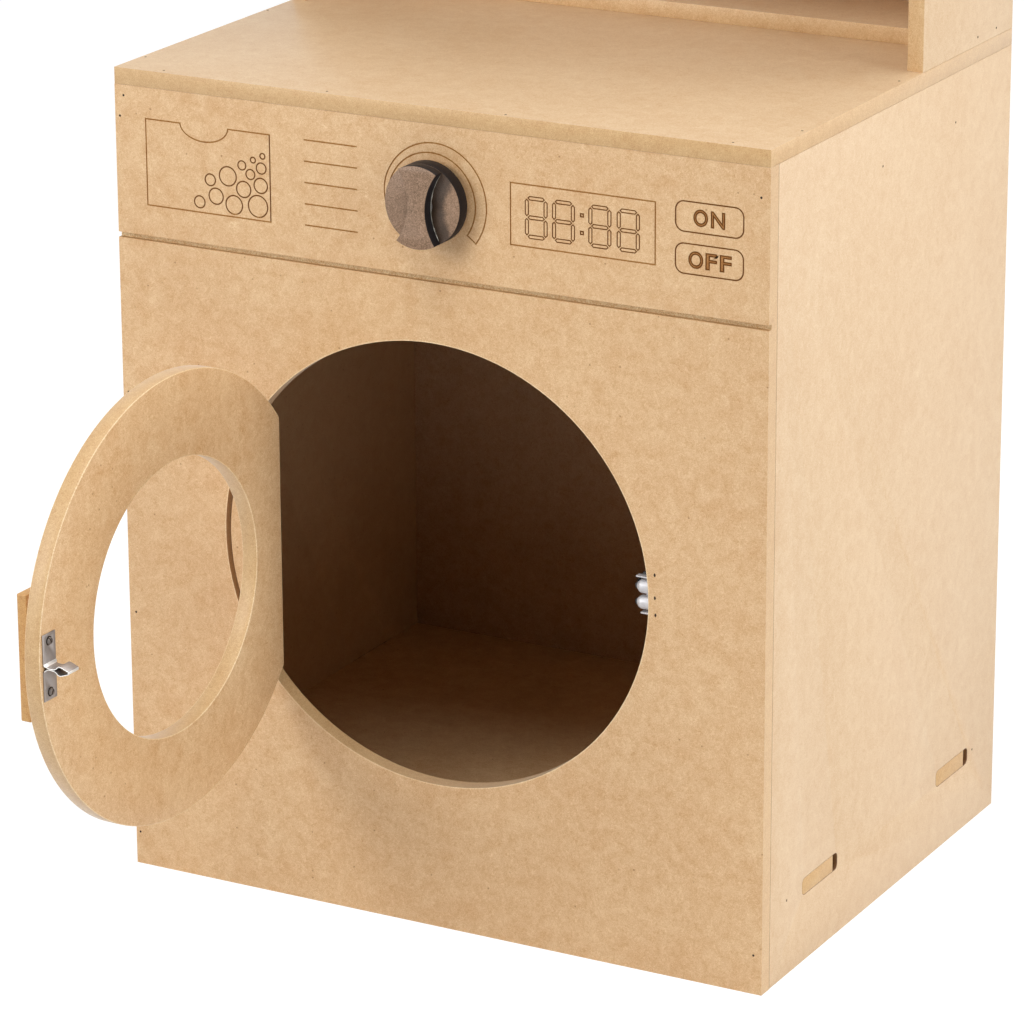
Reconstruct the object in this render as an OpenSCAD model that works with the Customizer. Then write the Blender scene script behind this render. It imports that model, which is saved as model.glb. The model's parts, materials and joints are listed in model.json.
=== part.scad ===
// Toy washing machine of raw fibreboard: a nailed cabinet with an open porthole door,
// an engraved control strip with a turning knob, and an open shelf unit on top.
// Origin: middle of the front panel's bottom edge. +X right, +Y to the back, +Z up.

/* [Cabinet] */
// Width over the two sides
body_w = 420; // [400:5:460]
// Depth from the front face to the back
body_d = 330; // [320:5:380]
// Height to the top of the top board
body_h = 495; // [485:5:520]
// Thickness of the fibreboard
board_t = 10; // [9.5:0.5:10.5]
// Thickness of the back sheets
back_t = 3; // [3:1:5]
// Height of the floor board's underside
floor_z = 41.5; // [35:0.5:45]
// Length of the slots in the sides that take the floor's tabs
slot_len = 47; // [40:1:55]
// Length of each floor tab
tab_len = 41; // [30:1:41]
// Distance between the two slots' centres
slot_pitch = 189; // [150:1:200]
// Corner radius of the slots
slot_r = 3; // [2:0.5:4]
// Depth of the stretcher board under the top
stretcher_d = 125; // [110:5:150]
// Height of the stretcher's underside
stretcher_z = 448.5; // [446:0.5:452]

/* [Porthole and door] */
// Half width of the porthole in the front panel
porthole_a = 139; // [137:1:141]
// Half height of the porthole
porthole_b = 134; // [132:1:136]
// Height of the porthole's centre
porthole_z = 223.5; // [220:0.5:226]
// Gap cut between the panel and the door disc
kerf = 3.4; // [3:0.1:4]
// Half width of the hole in the door
window_a = 83.6; // [75:0.2:86]
// Half height of the hole in the door
window_b = 80.8; // [70:0.2:84]
// How far the door stands open as drawn, in degrees
door_open = 91; // [85:1:95]
// Height of the handle bar
handle_h = 74; // [60:1:80]
// Width of the handle bar
handle_w = 26; // [24:1:28]
// Thickness of the handle bar
handle_t = 6.6; // [6:0.2:8]
// Thickness of the spacer under the handle bar
spacer_t = 6.9; // [6:0.1:8]

/* [Hinges] */
// Distance of the hinge pins from the middle of the panel
hinge_x = 113; // [112:0.5:114]
// Distance of the hinge pins in front of the panel
hinge_out = 1.4; // [1.4:0.05:1.6]
// Height of one hinge
hinge_h = 30; // [24:1:32]
// Distance from the door's middle to each hinge's middle
hinge_spread = 52; // [46:1:56]
// Gap between the door and the fixed segment at the hinges
hinge_gap = 1.5; // [1.5:0.05:1.6]
// Radius of the hinge knuckles
knuckle_r = 1.5; // [1.4:0.05:1.5]
// Radius of the hinge pins
pin_r = 0.6; // [0.5:0.05:0.7]
// Thickness of the hinge leaves
leaf_t = 0.65; // [0.5:0.05:0.65]

/* [Roller catch] */
// Distance of the strike from the middle of the panel
strike_x = 125; // [124:0.5:125.5]
// Length of the strike plate
strike_h = 38.5; // [36:0.5:40]
// Width of the strike plate
strike_w = 12; // [11:0.5:13]
// Length of the strike's tongue
tongue_len = 16.5; // [15.5:0.5:16.5]
// Radius of the rollers
roller_r = 3.6; // [3.4:0.1:3.7]
// Gap between the two rollers
roller_gap = 2.3; // [2.2:0.1:2.6]
// Length of the rollers
roller_len = 10; // [9:0.5:10]
// Distance of the rollers behind the front face
roller_y = 15.3; // [15:0.1:15.5]

/* [Control strip] */
// Height of the groove that sets off the control strip
groove_z = 395; // [394:0.5:396]
// Width of the groove
groove_w = 3.2; // [2.5:0.1:4]
// Depth of the groove
groove_depth = 3; // [2:0.5:5]
// Width of an engraved line
line_w = 0.7; // [0.5:0.05:0.8]
// Depth of an engraved line
line_depth = 0.4; // [0.2:0.1:0.8]

/* [Knob] */
// Radius of the knob
knob_r = 24; // [22:0.5:24.5]
// Thickness of the knob's disc
knob_base_t = 9; // [8:0.5:10]
// Thickness of the ridge on the knob
knob_ridge_t = 7; // [6:0.5:8]
// Radius of the two finger hollows beside the ridge
scoop_r = 35; // [30:1:40]
// Half width of the ridge at its waist
ridge_waist = 5.5; // [5:0.5:7]
// Distance of the knob's axis from the middle of the panel
knob_x = 0.5; // [0:0.5:3]
// Height of the knob's axis
knob_z = 441.2; // [438:0.2:442]

/* [Shelf unit] */
// Height of the shelf unit
hutch_h = 300; // [260:10:360]
// Depth of its sides
hutch_d = 130; // [110:5:150]
// Depth of its bottom board
rail_d = 70; // [60:5:90]
// Height of the shelf above the machine's top
shelf_z = 150; // [120:10:180]

/* [Brads] */
// Radius of a brad
brad_r = 0.7; // [0.6:0.05:0.8]
// Length of a brad
brad_len = 22; // [18:1:24]

/* [Hidden] */
$fn = 48;

// Colours
MDF = [0.86, 0.72, 0.55];
MDF_DARK = [0.74, 0.58, 0.40];
HARDBOARD = [0.42, 0.29, 0.19];
STEEL = [0.62, 0.61, 0.60];
ZINC = [0.83, 0.83, 0.84];
CHARCOAL = [0.36, 0.31, 0.28];
BRAD = [0.30, 0.27, 0.24];

cut = 1;                                  // how far a cutter runs past a face
half_w = body_w / 2;
side_x = half_w - board_t;                // inner face of a side
side_mid = half_w - board_t / 2;
top_z = body_h - board_t;                 // underside of the top board
back_y = body_d - back_t;                 // inner face of the back sheet
slot_mid = (board_t + body_d) / 2 + 1;    // middle between the two slots
leaf_screw_len = 7;

// Porthole, door disc and the chord that parts the door from the fixed segment
porthole_x = -2;
disc_a = porthole_a - kerf;
disc_b = porthole_b - kerf;
pivot = [-hinge_x, -hinge_out];
segment_edge = -hinge_x - hinge_gap / 2;
door_edge = -hinge_x + hinge_gap / 2;

// Catch
catch_z = porthole_z;
roller_x = strike_x + 2.9;
roller_offset = roller_gap / 2 + roller_r;
roller_pin_r = 1;
arm_t = 0.5;
arm_root_y = roller_y + 9;
catch_screw_y = 24;
arm_pin_r = 0.6;
arm_z = roller_offset + roller_r + 0.25;  // inner face of the arm's strip
arm_pin_z = arm_z + arm_t / 2;
flange_z = arm_z + arm_t + 1.2;           // inner face of the housing's flange
flange_t = 0.8;
block_x = porthole_x + porthole_a + 1;
block_w = 20;
block_d = 20;
block_h = 44;

// Knob
shank_r = 3;
running = 0.05;                           // radial clearance of what turns
knob_gap = 3;
knob_lean = 2;                            // how far the ridge leans to the right
knob_float = 0.1;
bolt_head_r = 6.5;
bolt_head_t = 3;
washer_t = 1.2;
nut_t = 5;
nut_r = 5.8;

// Control strip drawing, from the middle of the panel
strip_z = 441;
drawer_x0 = -189.6;
drawer_x1 = -105.6;
drawer_z0 = 414.8;
drawer_z1 = 466.9;
notch_half = 16.1;
notch_drop = 9.7;
notch_x = -149.8;
// Bubbles as [x, z, radius], rising like suds to the upper right
BUBBLES = [
    [-153.7, 421.3, 3.9], [-142.5, 426.0, 5.1], [-146.2, 435.3, 3.8], [-134.3, 438.8, 6.0],
    [-130.4, 422.3, 5.9], [-123.8, 432.3, 5.1], [-124.7, 446.4, 3.0], [-119.1, 441.7, 3.3],
    [-117.2, 450.4, 2.0], [-110.8, 453.4, 2.0], [-111.8, 446.1, 3.6], [-112.3, 435.8, 4.8],
    [-114.4, 423.4, 6.8]
];
program_x0 = -83.1;
program_x1 = -48.5;
program_z = 416.4;
program_pitch = 12.5;
scale_x = 1.7;
scale_z = 439.2;
scale_r0 = 29;                             // the inner arc, whose middle lies to the left
scale_r0_x = -2.1;
scale_r0_z = 0.6;
scale_r1 = 34.6;
scale_end = 38;                           // degrees below the horizontal at each end
display_x0 = 49.8;
display_x1 = 140.7;
display_z0 = 421.6;
display_z1 = 458;
button_x0 = 152.4;
button_x1 = 194.4;
button_h = 17.8;
button_z = [460.7, 436.9];                // top edges
button_r = 5.5;
digit_h = 24.6;
digit_w = 14.3;
digit_z = 426.7;
DIGITS = [59.2, 76.3, 99, 116.6];       // left edge of each digit
colon_x = 95;

// Brads as [first, second] coordinates on the face they are driven into
FRONT_BRADS = [
    [-204, 478.7], [-206.8, 466.3], [-206.4, 299.2], [-205.7, 161.9], [-207.2, 20.4],
    [204.4, 467.8], [204.7, 23.8]
];
CATCH_BRADS = [[140.9, 241.7], [141.1, 228.1], [141.5, 218]];
TOP_BRADS = [
    [-179, 4.9], [-70, 4.6], [45.6, 3.2], [184.5, 5.3],
    [-206.9, 28.9], [-207.8, 167], [206.6, 46], [205.8, 176]
];
SIDE_BRADS = [[248.7, 455.3], [146.6, 452.3], [296.7, 47.5], [32, 46.6]];
BACK_BRADS = [[-150, 46.5], [0, 46.5], [150, 46.5], [-150, 475], [0, 475], [150, 475]];

// ---------- shared shapes ----------

function oval(a, b, n = 144) = [for (i = [0 : n - 1]) [a * cos(360 * i / n), b * sin(360 * i / n)]];

// A box from its low corner to its high corner
module block(lo, hi) {
    translate(lo) cube(hi - lo);
}

// Turns a drawing in X and Y into a solid whose drawing plane faces the front,
// from the depth y0 to the depth y1
module upright(y0, y1) {
    translate([0, y1, 0]) rotate([90, 0, 0]) linear_extrude(height = y1 - y0) children();
}

// The same for a drawing in Y and Z, between x0 and x1
module sideways(x0, x1) {
    translate([x0, 0, 0]) rotate([90, 0, 90]) linear_extrude(height = x1 - x0) children();
}

module rounded_rect(w, h, r) {
    translate([r, 0]) square([w - 2 * r, h]);
    translate([0, r]) square([w, h - 2 * r]);
    for (x = [r, w - r], y = [r, h - r]) translate([x, y]) circle(r);
}

module rounded_line(x0, z0, w, h, r) {
    translate([x0, z0]) difference() {
        rounded_rect(w, h, r);
        translate([line_w, line_w]) rounded_rect(w - 2 * line_w, h - 2 * line_w, r - line_w);
    }
}

module brad_rows() {
    for (p = FRONT_BRADS) translate([p[0], 0, p[1]]) rotate([-90, 0, 0]) cylinder(r = brad_r, h = brad_len);
}

module brads_from_top() {
    for (p = TOP_BRADS) translate([p[0], p[1], body_h - brad_len]) cylinder(r = brad_r, h = brad_len);
}

// Brads through one side, at height and depth given by rows; s is -1 on the left and 1 on the right
module brads_from_side(rows, s) {
    for (p = rows) translate([s * half_w, p[0], p[1]]) rotate([0, -s * 90, 0]) cylinder(r = brad_r, h = brad_len);
}

module brads_from_back() {
    for (p = BACK_BRADS) translate([p[0], body_d, p[1]]) rotate([90, 0, 0]) cylinder(r = brad_r, h = brad_len);
}

module brads_at_catch() {
    for (p = CATCH_BRADS) translate([p[0], 0, p[1]]) rotate([-90, 0, 0]) cylinder(r = brad_r, h = brad_len);
}

// Puts a piece that is drawn on the shut door where the open door carries it
module on_door() {
    translate([pivot[0], pivot[1], 0]) rotate([0, 0, -door_open]) translate([-pivot[0], -pivot[1], 0]) children();
}

// ---------- engraving on the control strip ----------

// One bar of a seven-bar digit as a thin outline, length l and width w
module bar(l, w) {
    c = w / 2;
    k = line_w * 0.8;
    difference() {
        polygon([[0, c], [c, 0], [l - c, 0], [l, c], [l - c, w], [c, w]]);
        polygon([[k * 1.4, c], [c + k * 0.4, k], [l - c - k * 0.4, k], [l - k * 1.4, c],
                 [l - c - k * 0.4, w - k], [c + k * 0.4, w - k]]);
    }
}

module digit() {
    w = 2.5;
    gap = 0.45;
    side_l = (digit_h - w) / 2 - 2 * gap;
    for (z = [0, (digit_h - w) / 2, digit_h - w]) translate([w / 2 + gap, z]) bar(digit_w - w - 2 * gap, w);
    for (x = [w, digit_w], z = [w / 2 + gap, digit_h / 2 + gap]) translate([x, z]) rotate(90) bar(side_l, w);
}

module notch_oval(grow) {
    scale([(notch_half + grow) / (notch_drop + grow), 1]) circle(notch_drop + grow, $fn = 96);
}

module drawer_mark() {
    difference() {
        translate([drawer_x0, drawer_z0]) square([drawer_x1 - drawer_x0, drawer_z1 - drawer_z0]);
        translate([drawer_x0 + line_w, drawer_z0 + line_w])
            square([drawer_x1 - drawer_x0 - 2 * line_w, drawer_z1 - drawer_z0 - 2 * line_w]);
        translate([notch_x - notch_half, drawer_z1 - 2 * line_w]) square([2 * notch_half, 3 * line_w]);
    }
    intersection() {
        translate([notch_x, drawer_z1]) difference() {
            notch_oval(line_w / 2);
            notch_oval(-line_w / 2);
        }
        translate([notch_x - notch_half - 2, drawer_z1 - notch_drop - 2]) square([2 * notch_half + 4, notch_drop + 2]);
    }
}

module bubble_mark() {
    for (b = BUBBLES) translate([b[0], b[1]]) difference() {
        circle(b[2]);
        circle(b[2] - line_w);
    }
}

module program_mark() {
    for (i = [0 : 4]) translate([program_x0, program_z + i * program_pitch - line_w / 2])
        square([program_x1 - program_x0, line_w]);
}

// The band of the dial's scale as a face, open below; its two ends lie on lines that meet at the height apex
module scale_band(r0, r1, apex) {
    reach = 2 * scale_r1;
    difference() {
        circle(r1, $fn = 128);
        translate([scale_r0_x, scale_r0_z]) circle(r0, $fn = 128);
        polygon([[0, apex], [reach * cos(scale_end), apex - reach * sin(scale_end)], [reach, -reach],
                 [-reach, -reach], [-reach * cos(scale_end), apex - reach * sin(scale_end)]]);
    }
}

module scale_mark() {
    translate([scale_x, scale_z]) difference() {
        scale_band(scale_r0, scale_r1, 0);
        scale_band(scale_r0 + line_w, scale_r1 - line_w, line_w / cos(scale_end));
    }
}

module display_mark() {
    translate([display_x0, display_z0]) difference() {
        square([display_x1 - display_x0, display_z1 - display_z0]);
        translate([line_w, line_w])
            square([display_x1 - display_x0 - 2 * line_w, display_z1 - display_z0 - 2 * line_w]);
    }
    for (x = DIGITS) translate([x, digit_z]) digit();
    for (z = [digit_z + 6.3, digit_z + 16.4]) translate([colon_x - 1.2, z]) difference() {
        square(2.4);
        translate([line_w, line_w]) square(2.4 - 2 * line_w);
    }
}

module button_marks() {
    for (z = button_z) rounded_line(button_x0, z - button_h, button_x1 - button_x0, button_h, button_r);
}

module engraving() {
    upright(-cut, line_depth) {
        drawer_mark();
        bubble_mark();
        program_mark();
        scale_mark();
        display_mark();
        button_marks();
    }
}

// ---------- cabinet ----------

module front_panel() {
    color(MDF) difference() {
        block([-half_w, 0, 0], [half_w, board_t, top_z]);
        upright(-cut, board_t + cut) translate([porthole_x, porthole_z]) polygon(oval(porthole_a, porthole_b));
        block([-half_w - cut, -cut, groove_z - groove_w / 2], [half_w + cut, groove_depth, groove_z + groove_w / 2]);
        translate([knob_x, -cut, knob_z]) rotate([-90, 0, 0]) cylinder(r = shank_r + running, h = board_t + 2 * cut);
        engraving();
        brad_rows();
        brads_at_catch();
        brads_from_top();
    }
}

// A side board with its two slots; s is -1 on the left and 1 on the right
module side_board(s) {
    x0 = s > 0 ? side_x : -half_w;
    color(MDF) difference() {
        block([x0, board_t, 0], [x0 + board_t, body_d, top_z]);
        sideways(x0 - cut, x0 + board_t + cut)
            for (k = [-1, 1]) translate([slot_mid + k * slot_pitch / 2 - slot_len / 2, floor_z])
                rounded_rect(slot_len, board_t, slot_r);
        brad_rows();
        brads_from_top();
        brads_from_side(SIDE_BRADS, s);
    }
}

module left_side() { side_board(-1); }
module right_side() { side_board(1); }

module top_panel() {
    color(MDF) difference() {
        block([-half_w, 0, top_z], [half_w, body_d, body_h]);
        brads_from_top();
    }
}

// The floor lies between the sides and reaches through them with four tabs
module floor_panel() {
    color(MDF_DARK) difference() {
        union() {
            block([-side_x, board_t, floor_z], [side_x, back_y, floor_z + board_t]);
            for (k = [-1, 1]) sideways(-half_w, half_w)
                translate([slot_mid + k * slot_pitch / 2 - slot_len / 2, floor_z]) {
                    rounded_rect(tab_len, board_t, slot_r);
                    translate([tab_len / 2, 0]) square([tab_len / 2, board_t]);
                }
        }
        for (s = [-1, 1]) brads_from_side(SIDE_BRADS, s);
        brads_from_back();
    }
}

module back_panel() {
    color(HARDBOARD) difference() {
        block([-side_x, back_y, 0], [side_x, body_d, top_z]);
        brads_from_back();
    }
}

module stretcher() {
    mid = (SIDE_BRADS[0][0] + SIDE_BRADS[1][0]) / 2;
    color(MDF_DARK) difference() {
        block([-side_x, mid - stretcher_d / 2, stretcher_z], [side_x, mid + stretcher_d / 2, stretcher_z + board_t]);
        for (s = [-1, 1]) brads_from_side(SIDE_BRADS, s);
    }
}

module rear_rail() {
    color(MDF_DARK) difference() {
        block([-side_x, back_y - 2 * board_t, top_z - 2 * board_t], [side_x, back_y, top_z]);
        brads_from_back();
    }
}

// ---------- hinge side of the porthole ----------

// The slice of the cut-out disc that stays in the panel and carries the hinges
module hinge_segment() {
    color(MDF) difference() {
        intersection() {
            upright(0, board_t) translate([porthole_x, porthole_z]) polygon(oval(disc_a, disc_b));
            block([-half_w, -cut, 0], [segment_edge, board_t + cut, top_z]);
        }
        leaf_screw_group(-1);
    }
}

// The batten behind the panel that bridges the kerf and holds the segment
module hinge_batten() {
    color(MDF_DARK) block([-162, board_t, porthole_z - 70], [segment_edge - 3, 2 * board_t, porthole_z + 70]);
}

// Screws of the leaves; s is -1 for the fixed leaves and 1 for the door's
module leaf_screw_group(s) {
    leaf_face = -hinge_x + s * (hinge_gap / 2 - leaf_t);
    for (k = [-1, 1], dz = [-9, 9])
        translate([leaf_face, 4.8, porthole_z + k * hinge_spread + dz]) rotate([0, s * 90, 0]) {
            cylinder(r1 = 1.5, r2 = 0.85, h = leaf_t);
            cylinder(r = 0.85, h = leaf_screw_len);
        }
}

// One hinge leaf, its low end at z = 0; s is -1 for the fixed one, whose two knuckles
// are at the ends, and 1 for the door's, whose knuckle is in the middle
module leaf(s) {
    third = hinge_h / 3;
    play = 0.15;
    knuckles = s < 0 ? [[0, third - play], [2 * third + play, hinge_h]] : [[third + play, 2 * third - play]];
    plate_x = s < 0 ? -hinge_gap / 2 : hinge_gap / 2 - leaf_t;
    difference() {
        union() {
            block([plate_x, hinge_out + 0.4, 0], [plate_x + leaf_t, hinge_out + 9, hinge_h]);
            for (k = knuckles) {
                block([plate_x, 0.5, k[0]], [plate_x + leaf_t, hinge_out + 2, k[1]]);
                translate([0, 0, k[0]]) cylinder(r = knuckle_r, h = k[1] - k[0]);
            }
        }
        translate([0, 0, -cut]) cylinder(r = s < 0 ? pin_r : pin_r + running, h = hinge_h + 2 * cut);
    }
}

module leaf_pair(s) {
    color(STEEL) difference() {
        for (k = [-1, 1]) translate([pivot[0], pivot[1], porthole_z + k * hinge_spread - hinge_h / 2]) leaf(s);
        leaf_screw_group(s);
    }
}

module fixed_leaves() { leaf_pair(-1); }
module door_leaves() { on_door() leaf_pair(1); }
module fixed_leaf_screws() { color(STEEL) leaf_screw_group(-1); }
module door_leaf_screws() { on_door() color(STEEL) leaf_screw_group(1); }

module hinge_pins() {
    color(STEEL) for (k = [-1, 1])
        translate([pivot[0], pivot[1], porthole_z + k * hinge_spread - hinge_h / 2]) cylinder(r = pin_r, h = hinge_h);
}

// ---------- door ----------

module door_ring() {
    on_door() color(MDF) difference() {
        intersection() {
            upright(0, board_t) translate([porthole_x, porthole_z]) polygon(oval(disc_a, disc_b));
            block([door_edge, -cut, 0], [half_w, board_t + cut, top_z]);
        }
        upright(-cut, board_t + cut) translate([porthole_x, porthole_z]) polygon(oval(window_a, window_b));
        leaf_screw_group(1);
        strike_screw_pair();
    }
}

handle_x1 = porthole_x + disc_a - 13.6;   // free edge of the handle bar
handle_z0 = porthole_z - handle_h / 2 - 1;

module handle_spacer() {
    on_door() color(MDF_DARK)
        block([handle_x1 - handle_w + 2, -spacer_t, handle_z0], [handle_x1 - 5, 0, handle_z0 + handle_h]);
}

module handle_bar() {
    on_door() color(MDF)
        block([handle_x1 - handle_w, -spacer_t - handle_t, handle_z0], [handle_x1, -spacer_t, handle_z0 + handle_h]);
}

// ---------- roller catch ----------

strike_t = 1;
spear_half = roller_gap / 2 - 0.3;        // passes the rollers freely
neck_half = spear_half - 0.1;
screw_span = 29.4;

module strike_screw_pair() {
    for (k = [-1, 1]) translate([strike_x, board_t + strike_t, catch_z + k * screw_span / 2]) rotate([90, 0, 0])
        cylinder(r = 1.2, h = 8);
}

// A folded strip: a flat foot with two screws and a spear that stands out of its middle
module strike_plate() {
    y0 = board_t;
    tip_y = y0 + tongue_len;
    on_door() color(STEEL) difference() {
        union() {
            block([strike_x - strike_w / 2, y0, catch_z - strike_h / 2],
                  [strike_x + strike_w / 2, y0 + strike_t, catch_z + strike_h / 2]);
            sideways(strike_x - strike_w / 2 + 1, strike_x + strike_w / 2 - 1) translate([0, catch_z])
                polygon([[y0 + 0.5, -2.6], [y0 + 2.2, -neck_half], [tip_y - 6, -neck_half], [tip_y - 3.2, -spear_half],
                         [tip_y, -0.3], [tip_y, 0.3], [tip_y - 3.2, spear_half], [tip_y - 6, neck_half],
                         [y0 + 2.2, neck_half], [y0 + 0.5, 2.6]]);
        }
        strike_screw_pair();
    }
}

module strike_screws() {
    head_r = 2.3;
    head_t = 1.1;
    y1 = board_t + strike_t;
    on_door() color(STEEL) {
        difference() {
            union() {
                strike_screw_pair();
                for (k = [-1, 1]) translate([strike_x, y1, catch_z + k * screw_span / 2]) rotate([-90, 0, 0])
                    cylinder(r1 = head_r, r2 = head_r - 0.7, h = head_t);
            }
            for (k = [-1, 1]) translate([strike_x, y1 + 0.5, catch_z + k * screw_span / 2]) rotate([0, 30 * k, 0])
                block([-0.3, 0, -head_r - cut], [0.3, head_t, head_r + cut]);
        }
    }
}

module catch_block() {
    color(MDF_DARK) difference() {
        block([block_x, board_t, catch_z - block_h / 2], [block_x + block_w, board_t + block_d, catch_z + block_h / 2]);
        brads_at_catch();
        catch_screw_pair();
    }
}

module catch_screw_pair() {
    for (k = [-1, 1]) translate([block_x, catch_screw_y, catch_z + k * 18]) rotate([0, 90, 0]) cylinder(r = 1.1, h = 12);
}

// A foot plate on the block, a web behind the rollers, two flanges and the pins the sprung arms turn on
module catch_housing() {
    foot_t = 1.2;
    web_t = 0.8;
    x0 = roller_x - roller_len / 2 - 1;
    lip_x = x0 + 3.6;
    y1 = arm_root_y + 3.7;
    color(ZINC) difference() {
        union() {
            block([block_x - foot_t, board_t + 2, catch_z - 21], [block_x, y1, catch_z + 21]);
            block([x0, y1 - web_t, catch_z - flange_z - flange_t], [block_x, y1, catch_z + flange_z + flange_t]);
            for (s = [-1, 1]) {
                z0 = catch_z + (s > 0 ? flange_z : -flange_z - flange_t);
                block([lip_x, board_t + 3, z0], [block_x, board_t + 7, z0 + flange_t]);
                block([lip_x + 5.5, board_t + 3, z0], [block_x, y1, z0 + flange_t]);
                translate([x0, arm_root_y, catch_z + s * arm_pin_z]) rotate([0, 90, 0])
                    cylinder(r = arm_pin_r, h = block_x - x0);
            }
        }
        for (k = [-1, 1]) translate([block_x - foot_t - cut, catch_screw_y, catch_z + k * 18]) rotate([0, 90, 0])
            cylinder(r = 1.1, h = foot_t + 2 * cut);
    }
}

module catch_screws() {
    head_t = 1.2;
    color(STEEL) {
        catch_screw_pair();
        for (k = [-1, 1]) translate([block_x - 1.2 - head_t, catch_screw_y, catch_z + k * 18]) rotate([0, 90, 0]) {
            cylinder(r1 = 1.4, r2 = 2.2, h = head_t);
            cylinder(r = 1.1, h = head_t + 1.2);
        }
    }
}

// A strip on its pin with two sloping ears and the pin that carries a roller; s is 1 above and -1 below
module spring_arm(s) {
    ear_t = 0.8;
    x0 = roller_x - roller_len / 2 - ear_t - 0.2;
    x1 = roller_x + roller_len / 2 + ear_t + 0.2;
    strip_y = roller_y + roller_r + 1.3;
    top_z = arm_z + arm_t;
    lift = s > 0 ? 0 : 180;
    color(ZINC) translate([roller_x, 0, catch_z]) rotate([0, lift, 0]) translate([-roller_x, 0, 0]) {
        difference() {
            union() {
                block([x0, strip_y, arm_z], [x1, arm_root_y, top_z]);
                translate([x0, arm_root_y, arm_pin_z]) rotate([0, 90, 0]) cylinder(r = 1.25, h = x1 - x0);
            }
            translate([x0 - cut, arm_root_y, arm_pin_z]) rotate([0, 90, 0])
                cylinder(r = arm_pin_r + running, h = x1 - x0 + 2 * cut);
        }
        for (x = [x0, x1 - ear_t]) sideways(x, x + ear_t) {
            translate([roller_y, roller_offset]) circle(1.8);
            polygon([[roller_y - 1.1, roller_offset + 1.4], [strip_y, top_z], [strip_y + 2.2, top_z],
                     [strip_y + 2.2, arm_z], [roller_y + 1.1, roller_offset - 1.4]]);
        }
        translate([x0, roller_y, roller_offset]) rotate([0, 90, 0]) cylinder(r = roller_pin_r, h = x1 - x0);
    }
}

module upper_spring_arm() { spring_arm(1); }
module lower_spring_arm() { spring_arm(-1); }

// A barrel roller with tapered ends on the arm's pin
module roller(s) {
    taper_l = 2.6;
    taper_r = roller_r - 1.5;
    color(ZINC) translate([roller_x - roller_len / 2, roller_y, catch_z + s * roller_offset]) rotate([0, 90, 0])
        rotate_extrude() polygon([
            [roller_pin_r + running, 0], [taper_r, 0], [roller_r, taper_l],
            [roller_r, roller_len - taper_l], [taper_r, roller_len], [roller_pin_r + running, roller_len]
        ]);
}

module upper_roller() { roller(1); }
module lower_roller() { roller(-1); }

// ---------- knob ----------

module at_knob(y) {
    translate([knob_x, y, knob_z]) rotate([90, 0, 0]) children();
}

knob_back = -knob_gap - knob_float;

module knob_base() {
    color(CHARCOAL) difference() {
        at_knob(knob_back) cylinder(r = knob_r, h = knob_base_t, $fn = 96);
        at_knob(knob_back + cut) cylinder(r = shank_r, h = knob_base_t + cut);
        at_knob(knob_back - knob_base_t + bolt_head_t) cylinder(r = bolt_head_r, h = bolt_head_t + cut);
    }
}

// The ridge between two round finger hollows
module knob_ridge() {
    color(CHARCOAL) at_knob(knob_back - knob_base_t) rotate([0, 0, -knob_lean]) difference() {
        cylinder(r = knob_r, h = knob_ridge_t, $fn = 96);
        for (s = [-1, 1]) translate([s * (ridge_waist + scoop_r), 0, -cut])
            cylinder(r = scoop_r, h = knob_ridge_t + 2 * cut, $fn = 128);
    }
}

module knob_bolt() {
    color(STEEL) {
        at_knob(knob_back - knob_base_t + bolt_head_t) cylinder(r = bolt_head_r, h = bolt_head_t);
        at_knob(board_t + washer_t + nut_t + 2)
            cylinder(r = shank_r, h = board_t + washer_t + nut_t + 2 - knob_back + knob_base_t - bolt_head_t);
    }
}

module knob_spacer() {
    color(MDF_DARK) difference() {
        at_knob(0) cylinder(r = 9, h = knob_gap);
        at_knob(cut) cylinder(r = shank_r + running, h = knob_gap + 2 * cut);
    }
}

module knob_washer() {
    color(STEEL) difference() {
        at_knob(board_t + knob_float + washer_t) cylinder(r = 6, h = washer_t);
        at_knob(board_t + knob_float + washer_t + cut) cylinder(r = shank_r, h = washer_t + 2 * cut);
    }
}

module knob_nut() {
    color(STEEL) difference() {
        at_knob(board_t + knob_float + washer_t + nut_t) cylinder(r = nut_r, h = nut_t, $fn = 6);
        at_knob(board_t + knob_float + washer_t + nut_t + cut) cylinder(r = shank_r, h = nut_t + 2 * cut);
    }
}

// ---------- brads ----------

module front_brads() { color(BRAD) brad_rows(); }
module top_brads() { color(BRAD) brads_from_top(); }
module side_brads() { color(BRAD) for (s = [-1, 1]) brads_from_side(SIDE_BRADS, s); }
module back_brads() { color(BRAD) brads_from_back(); }
module catch_brads() { color(BRAD) brads_at_catch(); }

// ---------- shelf unit ----------

hutch_y0 = body_d - hutch_d;
hutch_top_z = body_h + hutch_h - board_t;
shelf_y0 = hutch_y0 + 15;
HUTCH_BRADS = [
    [278.3, body_h + board_t / 2], [305.6, body_h + board_t / 2],
    [shelf_y0 + 20, body_h + shelf_z + board_t / 2], [back_y - 20, body_h + shelf_z + board_t / 2]
];
HUTCH_TOP_BRADS = [hutch_y0 + 25, body_d - 25];

module brads_from_hutch_top() {
    for (s = [-1, 1], y = HUTCH_TOP_BRADS)
        translate([s * side_mid, y, body_h + hutch_h - brad_len]) cylinder(r = brad_r, h = brad_len);
}

module hutch_side(s) {
    x0 = s > 0 ? side_x : -half_w;
    color(MDF) difference() {
        block([x0, hutch_y0, body_h], [x0 + board_t, body_d, hutch_top_z]);
        brads_from_side(HUTCH_BRADS, s);
        brads_from_hutch_top();
    }
}

module hutch_left_side() { hutch_side(-1); }
module hutch_right_side() { hutch_side(1); }

module hutch_bottom() {
    color(MDF) difference() {
        block([-side_x, body_d - rail_d, body_h], [side_x, body_d, body_h + board_t]);
        for (s = [-1, 1]) brads_from_side(HUTCH_BRADS, s);
    }
}

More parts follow.
